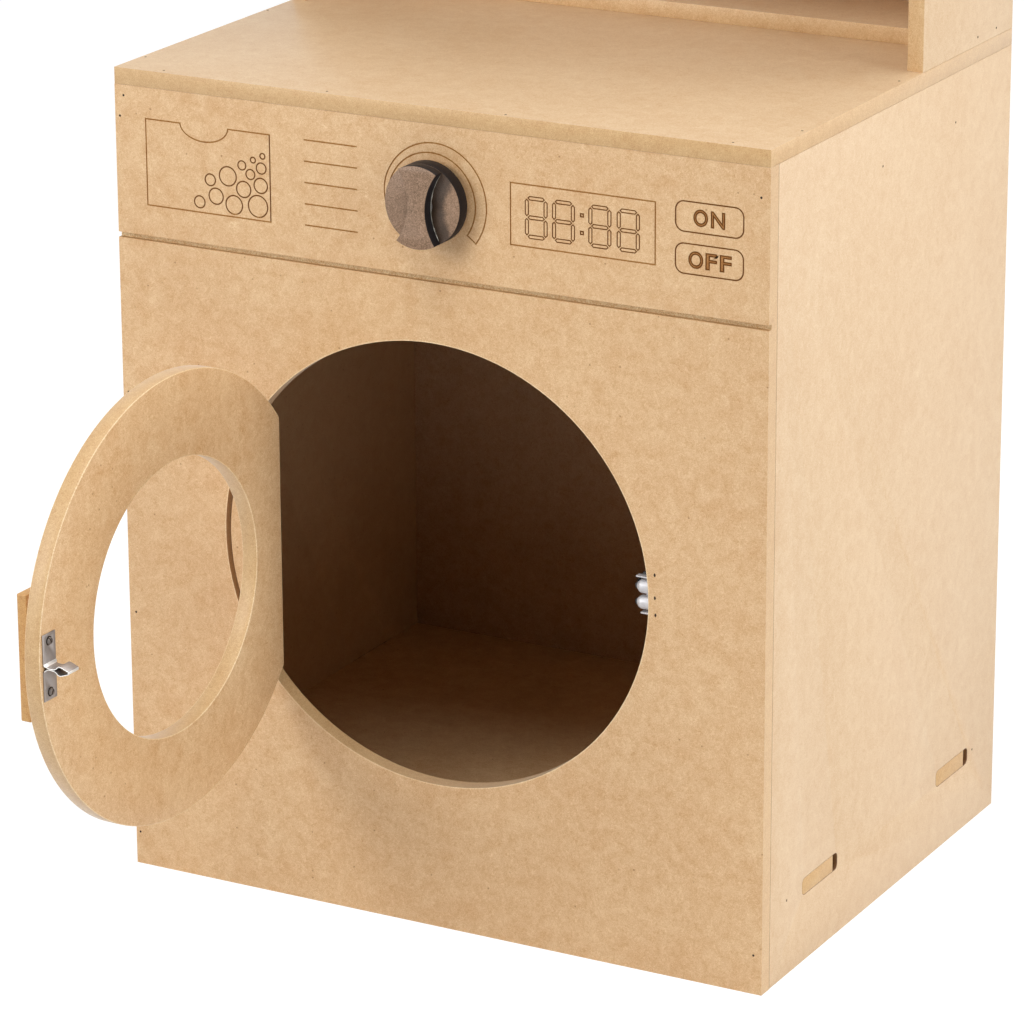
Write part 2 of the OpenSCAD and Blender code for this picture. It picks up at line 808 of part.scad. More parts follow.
module hutch_shelf() {
    color(MDF) difference() {
        block([-side_x, shelf_y0, body_h + shelf_z], [side_x, back_y, body_h + shelf_z + board_t]);
        for (s = [-1, 1]) brads_from_side(HUTCH_BRADS, s);
    }
}

module hutch_top() {
    color(MDF) difference() {
        block([-half_w, hutch_y0, hutch_top_z], [half_w, body_d, body_h + hutch_h]);
        brads_from_hutch_top();
    }
}

module hutch_back() {
    color(HARDBOARD) block([-side_x, back_y, body_h + board_t], [side_x, body_d, hutch_top_z]);
}

module hutch_brads() {
    color(BRAD) {
        for (s = [-1, 1]) brads_from_side(HUTCH_BRADS, s);
        brads_from_hutch_top();
    }
}

// ---------- nodes ----------

front_panel();
left_side();
right_side();
top_panel();
floor_panel();
back_panel();
stretcher();
rear_rail();
hinge_segment();
hinge_batten();
catch_block();
catch_housing();
catch_screws();
upper_spring_arm();
lower_spring_arm();
upper_roller();
lower_roller();
door_ring();
handle_bar();
handle_spacer();
strike_plate();
strike_screws();
fixed_leaves();
door_leaves();
hinge_pins();
fixed_leaf_screws();
door_leaf_screws();
knob_base();
knob_ridge();
knob_bolt();
knob_spacer();
knob_washer();
knob_nut();
front_brads();
top_brads();
side_brads();
back_brads();
catch_brads();
hutch_left_side();
hutch_right_side();
hutch_bottom();
hutch_shelf();
hutch_top();
hutch_back();
hutch_brads();
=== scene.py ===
import json
import math

import bpy
from mathutils import Matrix, Vector
from mathutils.noise import noise as noise_at


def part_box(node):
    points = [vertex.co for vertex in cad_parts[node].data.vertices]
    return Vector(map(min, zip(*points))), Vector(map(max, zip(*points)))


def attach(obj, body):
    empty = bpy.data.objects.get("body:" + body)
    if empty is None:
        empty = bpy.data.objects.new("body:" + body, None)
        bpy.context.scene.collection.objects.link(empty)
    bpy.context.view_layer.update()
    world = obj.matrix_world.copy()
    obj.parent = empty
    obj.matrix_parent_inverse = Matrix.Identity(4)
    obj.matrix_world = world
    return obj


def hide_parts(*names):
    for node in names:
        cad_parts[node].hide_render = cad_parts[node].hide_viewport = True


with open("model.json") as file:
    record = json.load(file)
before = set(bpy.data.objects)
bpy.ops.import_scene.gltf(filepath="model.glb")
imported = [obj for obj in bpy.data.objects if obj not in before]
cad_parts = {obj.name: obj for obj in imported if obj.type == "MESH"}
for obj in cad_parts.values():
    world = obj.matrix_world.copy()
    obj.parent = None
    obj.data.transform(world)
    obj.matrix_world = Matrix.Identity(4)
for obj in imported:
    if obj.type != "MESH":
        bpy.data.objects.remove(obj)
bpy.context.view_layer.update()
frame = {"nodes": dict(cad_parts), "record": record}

# ---------------------------------------------------------------- view and light
# The cabinet stands on a plain white floor in a soft studio light: a large lamp at
# the left front, two at the right, two overhead, and a pale surround.
MM = 0.001
scene = bpy.context.scene
scene.view_settings.view_transform = "Standard"

# the picture's width and the camera's focal length in pixels, and the row of its axis
PICTURE_WIDTH, FOCAL_LENGTH, AXIS_ROW = 1024, 4890.7, 430
CAMERA_PLACE = (1.3094, -2.3052, 1.1472)
CAMERA_HEADING, CAMERA_DIP, CAMERA_LEAN = math.radians(28.641), math.radians(17.608), math.radians(-0.271)
camera_data = bpy.data.cameras.new("studio_camera")
camera_data.sensor_width = 36
camera_data.lens = FOCAL_LENGTH / PICTURE_WIDTH * camera_data.sensor_width
camera_data.shift_y = (AXIS_ROW - PICTURE_WIDTH / 2) / PICTURE_WIDTH
camera_data.clip_start = 0.05
camera_data.clip_end = 60
camera = bpy.data.objects.new("studio_camera", camera_data)
scene.collection.objects.link(camera)
camera.matrix_world = (
    Matrix.Translation(CAMERA_PLACE)
    @ Matrix.Rotation(CAMERA_HEADING, 4, "Z")
    @ Matrix.Rotation(math.pi / 2 - CAMERA_DIP, 4, "X")
    @ Matrix.Rotation(CAMERA_LEAN, 4, "Z")
)
scene.camera = camera


def soft_box(name, place, aim, width, height, watts):
    """A rectangular studio lamp that faces the point aim."""
    lamp_data = bpy.data.lights.new(name, "AREA")
    lamp_data.shape = "RECTANGLE"
    lamp_data.size = width
    lamp_data.size_y = height
    lamp_data.energy = watts
    lamp = bpy.data.objects.new(name, lamp_data)
    scene.collection.objects.link(lamp)
    facing = (Vector(aim) - Vector(place)).to_track_quat("-Z", "Y")
    lamp.matrix_world = Matrix.Translation(place) @ facing.to_matrix().to_4x4()


cabinet_middle = (0.0, 0.15, 0.3)
soft_box("lamp_left_front", (-1.5, -2.0, 1.3), cabinet_middle, 1.4, 1.4, 38)
soft_box("lamp_right", (2.6, -0.3, 1.0), cabinet_middle, 1.4, 1.6, 37)
soft_box("lamp_right_back", (2.2, 1.6, 1.0), cabinet_middle, 1.4, 1.6, 22)
soft_box("lamp_overhead", (0.0, -0.8, 2.7), cabinet_middle, 1.6, 1.6, 34)
soft_box("lamp_over_back", (0.3, 1.0, 2.7), cabinet_middle, 1.6, 1.6, 26)


def add(tree, kind, label=None, **settings):
    """A node of this kind in the tree, with its settings."""
    node = tree.nodes.new(kind)
    if label:
        node.label = label
    for key, value in settings.items():
        setattr(node, key, value)
    return node


def math_node(tree, operation, first, second=None, clamp=False):
    """A Math node; first and second are sockets or numbers."""
    node = add(tree, "ShaderNodeMath", operation=operation, use_clamp=clamp)
    for slot_index, value in enumerate((first, second)):
        if value is None:
            continue
        if isinstance(value, (int, float)):
            node.inputs[slot_index].default_value = value
        else:
            tree.links.new(value, node.inputs[slot_index])
    return node.outputs[0]


# The surround is white to the camera and in reflections, and dimmer as a light.
SURROUND_LIGHT = 0.02
world = bpy.data.worlds.new("studio_surround")
scene.world = world
world.use_nodes = True
world.cycles.sampling_method = "NONE"
tree = world.node_tree
tree.nodes.clear()
ray = add(tree, "ShaderNodeLightPath").outputs
seen = math_node(tree, "MAXIMUM", ray["Is Camera Ray"], ray["Is Transmission Ray"])
level = add(tree, "ShaderNodeMapRange")
level.inputs["To Min"].default_value = SURROUND_LIGHT
level.inputs["To Max"].default_value = 1.0
tree.links.new(math_node(tree, "MAXIMUM", seen, ray["Is Glossy Ray"]), level.inputs["Value"])
glow = add(tree, "ShaderNodeBackground")
glow.inputs["Color"].default_value = (1, 1, 1, 1)
tree.links.new(level.outputs["Result"], glow.inputs["Strength"])
tree.links.new(glow.outputs[0], add(tree, "ShaderNodeOutputWorld").inputs["Surface"])

# The floor is white paper: matt to the light, and near white to the camera, where it
# keeps a faint shadow under the cabinet.
FLOOR_SIZE = 14
bpy.ops.object.select_all(action="DESELECT")
bpy.ops.mesh.primitive_plane_add(size=FLOOR_SIZE, location=(0, 2, 0))
floor = bpy.context.object
floor.name = "paper_floor"
paper = bpy.data.materials.new("white_paper")
paper.use_nodes = True
paper.cycles.emission_sampling = "NONE"
tree = paper.node_tree
tree.nodes.clear()
ray = add(tree, "ShaderNodeLightPath").outputs
matt = add(tree, "ShaderNodeBsdfDiffuse")
matt.inputs["Color"].default_value = (0.82, 0.82, 0.82, 1)
white = add(tree, "ShaderNodeEmission")
white.inputs["Strength"].default_value = 0.95
shaded = add(tree, "ShaderNodeBsdfDiffuse")
shaded.inputs["Color"].default_value = (0.16, 0.16, 0.16, 1)
both = add(tree, "ShaderNodeAddShader")
tree.links.new(white.outputs[0], both.inputs[0])
tree.links.new(shaded.outputs[0], both.inputs[1])
either = add(tree, "ShaderNodeMixShader")
tree.links.new(math_node(tree, "MAXIMUM", ray["Is Camera Ray"], ray["Is Glossy Ray"]), either.inputs[0])
tree.links.new(matt.outputs[0], either.inputs[1])
tree.links.new(both.outputs[0], either.inputs[2])
tree.links.new(either.outputs[0], add(tree, "ShaderNodeOutputMaterial").inputs["Surface"])
floor.data.materials.append(paper)

# ---------------------------------------------------------------- fibreboard
# Raw fibreboard is pressed wood fibre: a tan face with soft cloudy patches, matted
# fibres, a few dark bark flecks and pale strands. Its sawn edges are yellower.


def noise(tree, vector, scale, detail=3.0, rough=0.5, warp=0.0):
    """A noise from 0 to 1 with this many waves a metre, its middle value 0.5."""
    node = add(tree, "ShaderNodeTexNoise")
    node.inputs["Scale"].default_value = scale
    node.inputs["Detail"].default_value = detail
    node.inputs["Roughness"].default_value = rough
    node.inputs["Distortion"].default_value = warp
    tree.links.new(vector, node.inputs["Vector"])
    return node.outputs["Fac"]


def about_middle(tree, value, amount):
    """A value from 0 to 1 as a swing about zero, this large from end to end."""
    return math_node(tree, "MULTIPLY", math_node(tree, "SUBTRACT", value, 0.5), amount)


def new_group(name, wanted, given):
    """A shader node group with these inputs (name, kind, default) and outputs (name, kind)."""
    group = bpy.data.node_groups.new(name, "ShaderNodeTree")
    for label, kind, default in wanted:
        socket = group.interface.new_socket(label, in_out="INPUT", socket_type=kind)
        socket.default_value = default
    for label, kind in given:
        group.interface.new_socket(label, in_out="OUTPUT", socket_type=kind)
    return group, group.nodes.new("NodeGroupInput"), group.nodes.new("NodeGroupOutput")


pressed, wants, gives = new_group(
    "pressed_fibre",
    [("Color", "NodeSocketColor", (0.7, 0.5, 0.3, 1)), ("Clouds", "NodeSocketFloat", 1.0),
     ("Fibres", "NodeSocketFloat", 1.0), ("Flecks", "NodeSocketFloat", 1.0),
     ("Swing", "NodeSocketVector", (0.62, 1.08, 1.6))],
    [("Color", "NodeSocketColor"), ("Roughness", "NodeSocketFloat"), ("Height", "NodeSocketFloat")],
)
place = add(pressed, "ShaderNodeTexCoord").outputs["Object"]
broad = noise(pressed, place, 16, 3, 0.55)
patch = noise(pressed, place, 110, 4, 0.6, 0.6)
fibre = noise(pressed, place, 620, 4, 0.62, 1.6)
grit = noise(pressed, place, 1900, 2, 0.5)
patches = math_node(
    pressed, "ADD", about_middle(pressed, broad, 0.24), about_middle(pressed, patch, 0.56))
clouds = math_node(pressed, "MULTIPLY", patches, wants.outputs["Clouds"])
strands = math_node(
    pressed, "ADD", about_middle(pressed, fibre, 0.95), about_middle(pressed, grit, 0.80))
fine = math_node(pressed, "MULTIPLY", strands, wants.outputs["Fibres"])
# bark flecks: small cells, of which only a few are dark
cells = add(pressed, "ShaderNodeTexVoronoi", "bark flecks")
cells.inputs["Scale"].default_value = 210
pressed.links.new(place, cells.inputs["Vector"])
near = add(pressed, "ShaderNodeMapRange", clamp=True)
near.inputs["From Min"].default_value = 0.16
near.inputs["From Max"].default_value = 0.07
pressed.links.new(cells.outputs["Distance"], near.inputs["Value"])
picked = add(pressed, "ShaderNodeSeparateColor")
pressed.links.new(cells.outputs["Color"], picked.inputs[0])
few = math_node(pressed, "GREATER_THAN", picked.outputs[0], 0.945)
fleck = math_node(pressed, "MULTIPLY", near.outputs[0], few)
fleck = math_node(pressed, "MULTIPLY", fleck, wants.outputs["Flecks"])
# pale strands: the level line of a wandering noise, kept only here and there
wander = noise(pressed, place, 75, 2, 0.5, 1.2)
off_line = math_node(pressed, "ABSOLUTE", math_node(pressed, "SUBTRACT", wander, 0.5))
line = add(pressed, "ShaderNodeMapRange", "strand", clamp=True)
line.inputs["From Min"].default_value = 0.012
line.inputs["From Max"].default_value = 0.002
pressed.links.new(off_line, line.inputs["Value"])
spot = math_node(pressed, "GREATER_THAN", noise(pressed, place, 60, 1, 0.5), 0.66)
strand = math_node(pressed, "MULTIPLY", line.outputs[0], spot)
strand = math_node(pressed, "MULTIPLY", strand, wants.outputs["Flecks"])
level = math_node(pressed, "ADD", clouds, fine)
level = math_node(pressed, "ADD", level, math_node(pressed, "MULTIPLY", strand, 0.16))
# dark fibres are ruddy and light ones pale, so blue swings most and red least
swung = add(pressed, "ShaderNodeVectorMath", operation="SCALE")
pressed.links.new(wants.outputs["Swing"], swung.inputs[0])
pressed.links.new(level, swung.inputs["Scale"])
lifted = add(pressed, "ShaderNodeVectorMath", operation="ADD")
lifted.inputs[1].default_value = (1, 1, 1)
pressed.links.new(swung.outputs[0], lifted.inputs[0])
kept = add(pressed, "ShaderNodeVectorMath", operation="MAXIMUM")
kept.inputs[1].default_value = (0.08, 0.08, 0.08)
pressed.links.new(lifted.outputs[0], kept.inputs[0])
tone = add(pressed, "ShaderNodeVectorMath", operation="MULTIPLY")
pressed.links.new(wants.outputs["Color"], tone.inputs[0])
pressed.links.new(kept.outputs[0], tone.inputs[1])
bark = add(pressed, "ShaderNodeMix", "bark", data_type="RGBA", blend_type="MULTIPLY")
bark.inputs[7].default_value = (0.62, 0.50, 0.38, 1)
pressed.links.new(fleck, bark.inputs[0])
pressed.links.new(tone.outputs[0], bark.inputs[6])
pressed.links.new(bark.outputs[2], gives.inputs["Color"])
roughness = math_node(pressed, "ADD", math_node(pressed, "MULTIPLY", fibre, 0.22), 0.34)
pressed.links.new(roughness, gives.inputs["Roughness"])
height = math_node(
    pressed, "ADD", math_node(pressed, "MULTIPLY", fibre, 0.7), math_node(pressed, "MULTIPLY", grit, 0.3))
pressed.links.new(height, gives.inputs["Height"])


def dressed(name, look_group, values, bump, bump_depth):
    """A material whose colour, roughness and relief come from a look group with these
    input values; its shader is given back with it."""
    material = bpy.data.materials.new(name)
    material.use_nodes = True
    tree = material.node_tree
    shader = tree.nodes["Principled BSDF"]
    look = add(tree, "ShaderNodeGroup")
    look.node_tree = look_group
    for socket, value in values.items():
        look.inputs[socket].default_value = value
    relief = add(tree, "ShaderNodeBump")
    relief.inputs["Strength"].default_value = bump
    relief.inputs["Distance"].default_value = bump_depth
    tree.links.new(look.outputs["Height"], relief.inputs["Height"])
    tree.links.new(look.outputs["Color"], shader.inputs["Base Color"])
    tree.links.new(look.outputs["Roughness"], shader.inputs["Roughness"])
    tree.links.new(relief.outputs[0], shader.inputs["Normal"])
    return material, shader


def board_finish(name, color, clouds=0.6, fibres=1.0, flecks=0.2, bump=0.2, gloss=0.6, fuzz=0.0,
                 swing=None):
    """A fibreboard material: the pressed fibre at these strengths over a base colour."""
    values = {"Color": (*color, 1), "Clouds": clouds, "Fibres": fibres, "Flecks": flecks}
    if swing:
        values["Swing"] = swing
    material, shader = dressed(name, pressed, values, bump, 0.4 * MM)
    shader.inputs["Specular IOR Level"].default_value = gloss
    shader.inputs["Sheen Weight"].default_value = fuzz
    return material


def srgb(red, green, blue):
    """A colour given as 0 to 255 on the screen, as the linear values that nodes take."""
    return tuple(c / 12.92 if c <= 0.04045 else ((c + 0.055) / 1.055) ** 2.4
                 for c in (red / 255, green / 255, blue / 255))


face_finish = board_finish(
    "fibreboard_face", srgb(219, 180, 134), clouds=1.0, flecks=1.0, bump=0.12, gloss=0.5)
# the sides, top, inner boards and shelf unit: the face colour made paler and less saturated, a painted
# sheen for their glancing view
face_with_painted_sheen = board_finish(
    "fibreboard_painted_sheen", srgb(212, 181, 143), fibres=0.66, flecks=0.5, bump=0.12)
edge_finish = board_finish("fibreboard_sawn_edge", srgb(205, 165, 112), bump=0.25, fuzz=0.45)
# a pale finish for eased arrises: painted highlight
painted_arris_highlight = board_finish("painted_arris_highlight", srgb(236, 206, 162), flecks=0)

ARRIS = 0.35 * MM


def deselect():
    """Leaves edit mode and selects nothing."""
    if bpy.context.object and bpy.context.object.mode != "OBJECT":
        bpy.ops.object.mode_set(mode="OBJECT")
    bpy.ops.object.select_all(action="DESELECT")


def pick(piece):
    """Makes this piece the only selected and the active one."""
    deselect()
    piece.select_set(True)
    bpy.context.view_layer.objects.active = piece


def settle(piece):
    """Puts the piece's place, turn and size into its mesh."""
    pick(piece)
    bpy.ops.object.transform_apply(location=True, rotation=True, scale=True)


def ease_edges(piece, width=ARRIS, segments=2):
    """Takes the sharpness off every edge by a small bevel and smooths what is round."""
    pick(piece)
    arris = piece.modifiers.new("arris", "BEVEL")
    arris.width = width
    arris.segments = segments
    arris.limit_method = "ANGLE"
    arris.angle_limit = math.radians(30)
    bpy.ops.object.modifier_apply(modifier="arris")
    bpy.ops.object.shade_smooth_by_angle(angle=math.radians(35))


def block(name, low, high):
    """A box between two corners, as a mesh at the origin."""
    deselect()
    low, high = Vector(low), Vector(high)
    bpy.ops.mesh.primitive_cube_add(size=1, location=(low + high) / 2)
    piece = bpy.context.object
    piece.name = name
    piece.scale = high - low
    settle(piece)
    return piece


def cut_away(piece, cutter, operation="DIFFERENCE"):
    """Cuts the cutter out of the piece, or joins it on, and removes the cutter."""
    pick(piece)
    cut = piece.modifiers.new("cut", "BOOLEAN")
    cut.operation = operation
    cut.solver = "EXACT"
    cut.object = cutter
    bpy.ops.object.modifier_apply(modifier="cut")
    bpy.data.objects.remove(cutter)


def face_and_edge(piece, thin, face=face_finish, edge=edge_finish, arris=None):
    """The board's two broad sides, square to the thin axis, get the face, the rest the sawn
    edge, and the eased arris between them its own finish if one is given."""
    thin = Vector(thin)
    piece.data.materials.clear()
    for finish in (face, edge, arris or edge):
        piece.data.materials.append(finish)
    for polygon in piece.data.polygons:
        square = abs(polygon.normal.dot(thin))
        polygon.material_index = 2 if arris and 0.2 < square < 0.97 else 0 if square > 0.8 else 1


def placed(piece, body, slot, *nodes):
    """The finished piece rides on its body and stands for its CAD nodes."""
    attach(piece, body)
    if nodes:
        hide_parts(*nodes)


# ---------------------------------------------------------------- cabinet sides and floor
# Two boards stand behind the front panel. Each has two slots near the floor, burnt
# out by the cutter, and the floor board's four tabs end flush in them.
BOARD = 10 * MM  # the thickness of every fibreboard
half_width, depth = 210 * MM, 330 * MM
slot_low, slot_high = 41.5 * MM, 51.5 * MM
slot_starts = (53.0 * MM, 242.0 * MM)
SLOT_LENGTH, TAB_LENGTH, SLOT_RADIUS = 47 * MM, 41 * MM, 3 * MM


def slot_plug(sign, x_in, x_out, start, length, square_back=False):
    """A block across one side board with the slot's rounded outline, or with a square back end."""
    x_low, x_high = sorted((sign * x_in, sign * x_out))
    plug = block("slot_plug", (x_low, start, slot_low), (x_high, start + length, slot_high))
    bpy.ops.object.mode_set(mode="EDIT")
    bpy.ops.mesh.select_all(action="DESELECT")
    bpy.ops.object.mode_set(mode="OBJECT")
    for edge in plug.data.edges:
        a, b = (plug.data.vertices[i].co for i in edge.vertices)
        along_x = abs(a.x - b.x) > 1e-5
        edge.select = along_x and not (square_back and (a.y + b.y) / 2 > start + length / 2)
    bpy.ops.object.mode_set(mode="EDIT")
    bpy.ops.mesh.select_mode(type="EDGE")
    bpy.ops.mesh.bevel(offset=SLOT_RADIUS, segments=6, affect="EDGES")
    bpy.ops.object.mode_set(mode="OBJECT")
    return plug


slot_wall = board_finish("burnt_slot_wall", srgb(122, 84, 50), clouds=0.5, gloss=0.4)
BURNT = 3
for name, sign in (("left_side", -1), ("right_side", 1)):
    low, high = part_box(name)
    side = block(name + "_board", low, high)
    for start in slot_starts:
        cut_away(side, slot_plug(sign, half_width - 2 * BOARD, half_width + BOARD, start, SLOT_LENGTH))
    ease_edges(side)
    face_and_edge(side, (1, 0, 0), face_with_painted_sheen)
    side.data.materials.append(slot_wall)
    for polygon in side.data.polygons:
        middle, outward = polygon.center, abs(polygon.normal.x)
        level = slot_low - 1 * MM < middle.z < slot_high + 1 * MM
        in_slot = level and 2 * BOARD < middle.y < depth - 2 * BOARD and outward < 0.95
        at_seam = middle.y < BOARD + 0.6 * MM and 0.05 < outward < 0.95
        if in_slot or at_seam:
            polygon.material_index = BURNT
    placed(side, "cabinet", "fibreboard", name)

BACK_SHEET = 3 * MM
inner_half = half_width - BOARD
floor_low, floor_high = (-inner_half, BOARD, slot_low), (inner_half, depth - BACK_SHEET, slot_high)
floor_board = block("floor_board", floor_low, floor_high)
for sign in (-1, 1):
    for start in slot_starts:
        tab = slot_plug(sign, half_width - 3 * BOARD, half_width, start, TAB_LENGTH, square_back=True)
        cut_away(floor_board, tab, "UNION")
ease_edges(floor_board)
tab_end = board_finish("tab_end", srgb(200, 160, 107), bump=0.25, gloss=0.5)
face_and_edge(floor_board, (0, 0, 1), edge=tab_end)
placed(floor_board, "cabinet", "fibreboard_inner", "floor_panel")

# ---------------------------------------------------------------- top and inner boards
# The top board lies over the front panel and the sides. A stretcher and a rail are
# nailed below it, and a batten bridges the saw gap behind the fixed hinge segment.
for name, thin, slot in (
    ("top_panel", (0, 0, 1), "fibreboard"),
    ("stretcher", (0, 0, 1), "fibreboard_inner"),
    ("rear_rail", (0, 0, 1), "fibreboard_inner"),
    ("hinge_batten", (0, 1, 0), "fibreboard_inner"),
    ("catch_block", (0, 1, 0), "fibreboard_inner"),
):
    low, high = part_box(name)
    board = block(name + "_board", low, high)
    ease_edges(board)
    face_and_edge(board, thin, face_with_painted_sheen)
    placed(board, "cabinet", slot, name)

# ---------------------------------------------------------------- back sheets
# Thin brown hardboard closes the cabinet and the shelf unit. It is smooth inside and
# has the print of the press's wire screen outside.
SCREEN_PITCH = 2.2 * MM
brown = {"Color": (*srgb(202, 168, 134), 1), "Clouds": 0.8, "Flecks": 0.5}
hardboard, shader = dressed("hardboard", pressed, brown, 0.5, 0.3 * MM)
tree = hardboard.node_tree
relief = shader.inputs["Normal"].links[0].from_node
fibre_height = relief.inputs["Height"].links[0].from_socket
parts = add(tree, "ShaderNodeSeparateXYZ")
tree.links.new(add(tree, "ShaderNodeTexCoord").outputs["Object"], parts.inputs[0])
wires = [
    math_node(tree, "SINE", math_node(tree, "MULTIPLY", parts.outputs[axis], 2 * math.pi / SCREEN_PITCH))
    for axis in ("X", "Z")
]
outside = math_node(tree, "GREATER_THAN", parts.outputs["Y"], depth - 0.5 * MM)
print_height = math_node(tree, "MULTIPLY", math_node(tree, "MULTIPLY", *wires), outside)
tree.links.new(math_node(tree, "ADD", print_height, fibre_height), relief.inputs["Height"])

for name in ("back_panel", "hutch_back"):
    low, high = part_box(name)
    sheet = block(name + "_sheet", low, high)
    ease_edges(sheet, 0.2 * MM)
    sheet.data.materials.append(hardboard)
    placed(sheet, "cabinet", "hardboard", name)

# ---------------------------------------------------------------- front panel
# One board with the porthole, the saw groove below the control strip and the burnt
# engraving: drawer, suds, programs, dial scale, clock and two buttons.


def copy_of_node(node, name):
    """A clean copy of a CAD node's mesh, its loose triangles merged into one skin."""
    piece = bpy.data.objects.new(name, frame["nodes"][node].data.copy())
    scene.collection.objects.link(piece)
    pick(piece)
    bpy.ops.object.mode_set(mode="EDIT")
    bpy.ops.mesh.select_all(action="SELECT")
    bpy.ops.mesh.remove_doubles(threshold=2e-6)
    bpy.ops.mesh.normals_make_consistent(inside=False)
    bpy.ops.object.mode_set(mode="OBJECT")
    for polygon in piece.data.polygons:
        polygon.use_smooth = False
    if piece.data.has_custom_normals:
        bpy.ops.mesh.customdata_custom_splitnormals_clear()
    piece.data.materials.clear()
    return piece


def join_flats(piece):
    """Flat neighbours among the piece's triangles become one face again."""
    pick(piece)
    bpy.ops.object.mode_set(mode="EDIT")
    bpy.ops.mesh.select_all(action="SELECT")
    bpy.ops.mesh.dissolve_limited(angle_limit=math.radians(0.5))
    bpy.ops.object.mode_set(mode="OBJECT")


LINE_WIDTH, LINE_DEPTH = 0.7 * MM, 0.4 * MM
BOLDER = 0.032  # how far the letters' strokes are swelled, in heights of a line of text


def letter_groove(letter, x_low, x_high, z_low, z_high):
    """The outline of a letter as a thin closed wall that can be cut into the panel."""
    deselect()
    bpy.ops.object.text_add(location=(0, 0, 0), rotation=(math.pi / 2, 0, 0))
    groove = bpy.context.object
    groove.data.body = letter
    groove.data.offset = BOLDER
    bpy.ops.object.convert(target="MESH")
    groove = bpy.context.object
    settle(groove)
    xs = [v.co.x for v in groove.data.vertices]
    zs = [v.co.z for v in groove.data.vertices]
    for v in groove.data.vertices:
        v.co.x = x_low + (v.co.x - min(xs)) * (x_high - x_low) / (max(xs) - min(xs))
        v.co.z = z_low + (v.co.z - min(zs)) * (z_high - z_low) / (max(zs) - min(zs))
        v.co.y = -1 * MM
    bpy.ops.object.mode_set(mode="EDIT")
    bpy.ops.mesh.select_all(action="SELECT")
    bpy.ops.mesh.remove_doubles(threshold=1e-6)
    bpy.ops.mesh.dissolve_limited(angle_limit=math.radians(1))
    bpy.ops.mesh.select_all(action="SELECT")
    bpy.ops.mesh.inset(thickness=LINE_WIDTH, depth=0, use_boundary=True)
    bpy.ops.mesh.delete(type="FACE")
    bpy.ops.mesh.select_all(action="SELECT")
    bpy.ops.mesh.extrude_region_move(TRANSFORM_OT_translate={"value": (0, 1 * MM + LINE_DEPTH, 0)})
    bpy.ops.mesh.select_all(action="SELECT")
    bpy.ops.mesh.normals_make_consistent(inside=False)
    bpy.ops.object.mode_set(mode="OBJECT")
    return groove


panel = copy_of_node("front_panel", "front_board")
# the dial's two arcs are a little narrow, and close in behind the knob at their left end
SCALE_X, SCALE_Z = 1.7 * MM, 439.2 * MM
SCALE_INNER, SCALE_BETWEEN, SCALE_OUTER = 25 * MM, 32.6 * MM, 36 * MM
CLOSING_FROM, CLOSING_TO, CLOSED_RADIUS = 160, 230, 26.5 * MM
for vertex in panel.data.vertices:
    right, up = vertex.co.x - SCALE_X, vertex.co.z - SCALE_Z
    away = math.hypot(right, up)
    if vertex.co.y < LINE_DEPTH + 0.2 * MM and SCALE_INNER < away < SCALE_OUTER:
        if away > SCALE_BETWEEN:
            right, up = right * 0.97, up + 1.0 * MM
        else:
            right, up = right * 0.96, up * 0.97 + 0.4 * MM
        around = math.degrees(math.atan2(up, right)) % 360
        if CLOSING_FROM < around < CLOSING_TO:
            away = math.hypot(right, up)
            closing = 0.64 * min(1, (around - CLOSING_FROM) / 58) ** 1.3
            nearer = away - max(0, away - CLOSED_RADIUS) * closing
            right, up = right * nearer / away, up * nearer / away
        vertex.co.x, vertex.co.z = SCALE_X + right, SCALE_Z + up
# each letter with its left, right, low and high end in millimetres
letters = [
    ("O", 163.6, 172.4, 446.9, 456.6),
    ("N", 174.2, 182.8, 447.0, 456.5),
    ("O", 160.7, 169.7, 422.9, 432.7),
    ("F", 171.1, 178.1, 423.0, 432.6),
    ("F", 179.8, 187.0, 423.0, 432.6),
]
for letter, *ends in letters:
    cut_away(panel, letter_groove(letter, *(end * MM for end in ends)))

# the cutter scorches a narrow rim beside every line; round the porthole a wider pale band is a painted
# highlight on its arris
GROOVE_LOW, STRIP_LOW, STRIP_HIGH, STRIP_HALF = 390 * MM, 400 * MM, 480 * MM, 200 * MM
SCORCH_WIDTH, HIGHLIGHT_WIDENING = 0.2 * MM, 0.4 * MM
FLAT = 0.01 * MM
PORTHOLE_HALF_WIDTH, PORTHOLE_HALF_HEIGHT = 139 * MM, 134 * MM
door_middle = Vector((-2 * MM, 0, 223.5 * MM))


def on_front(polygon):
    """Whether a face is part of the panel's front."""
    return polygon.normal.y < -0.99 and abs(polygon.center.y) < FLAT


def from_porthole(point):
    """How far a point of the front face lies outside the porthole's oval, about."""
    across = (point.x - door_middle.x) / PORTHOLE_HALF_WIDTH
    up = (point.z - door_middle.z) / PORTHOLE_HALF_HEIGHT
    return (math.hypot(across, up) - 1) * PORTHOLE_HALF_HEIGHT


def in_strip(point):
    """Whether a point lies within the control strip."""
    return STRIP_LOW < point.z < STRIP_HIGH and abs(point.x) < STRIP_HALF


face_and_edge(panel, (0, 1, 0))
scorch_finish = board_finish(
    "scorched_rim", srgb(200, 157, 107), fibres=1.2, flecks=0, bump=0.12, gloss=0.5)
light_burn = board_finish("light_burn", srgb(178, 128, 70), fibres=1.4, flecks=0, gloss=0.05)
deep_burn = board_finish("deep_burn", srgb(124, 76, 34), fibres=1.4, flecks=0, gloss=0.05)
fill_finish = board_finish("burnt_letter", srgb(166, 114, 62), fibres=1.6, flecks=0, gloss=0.2)
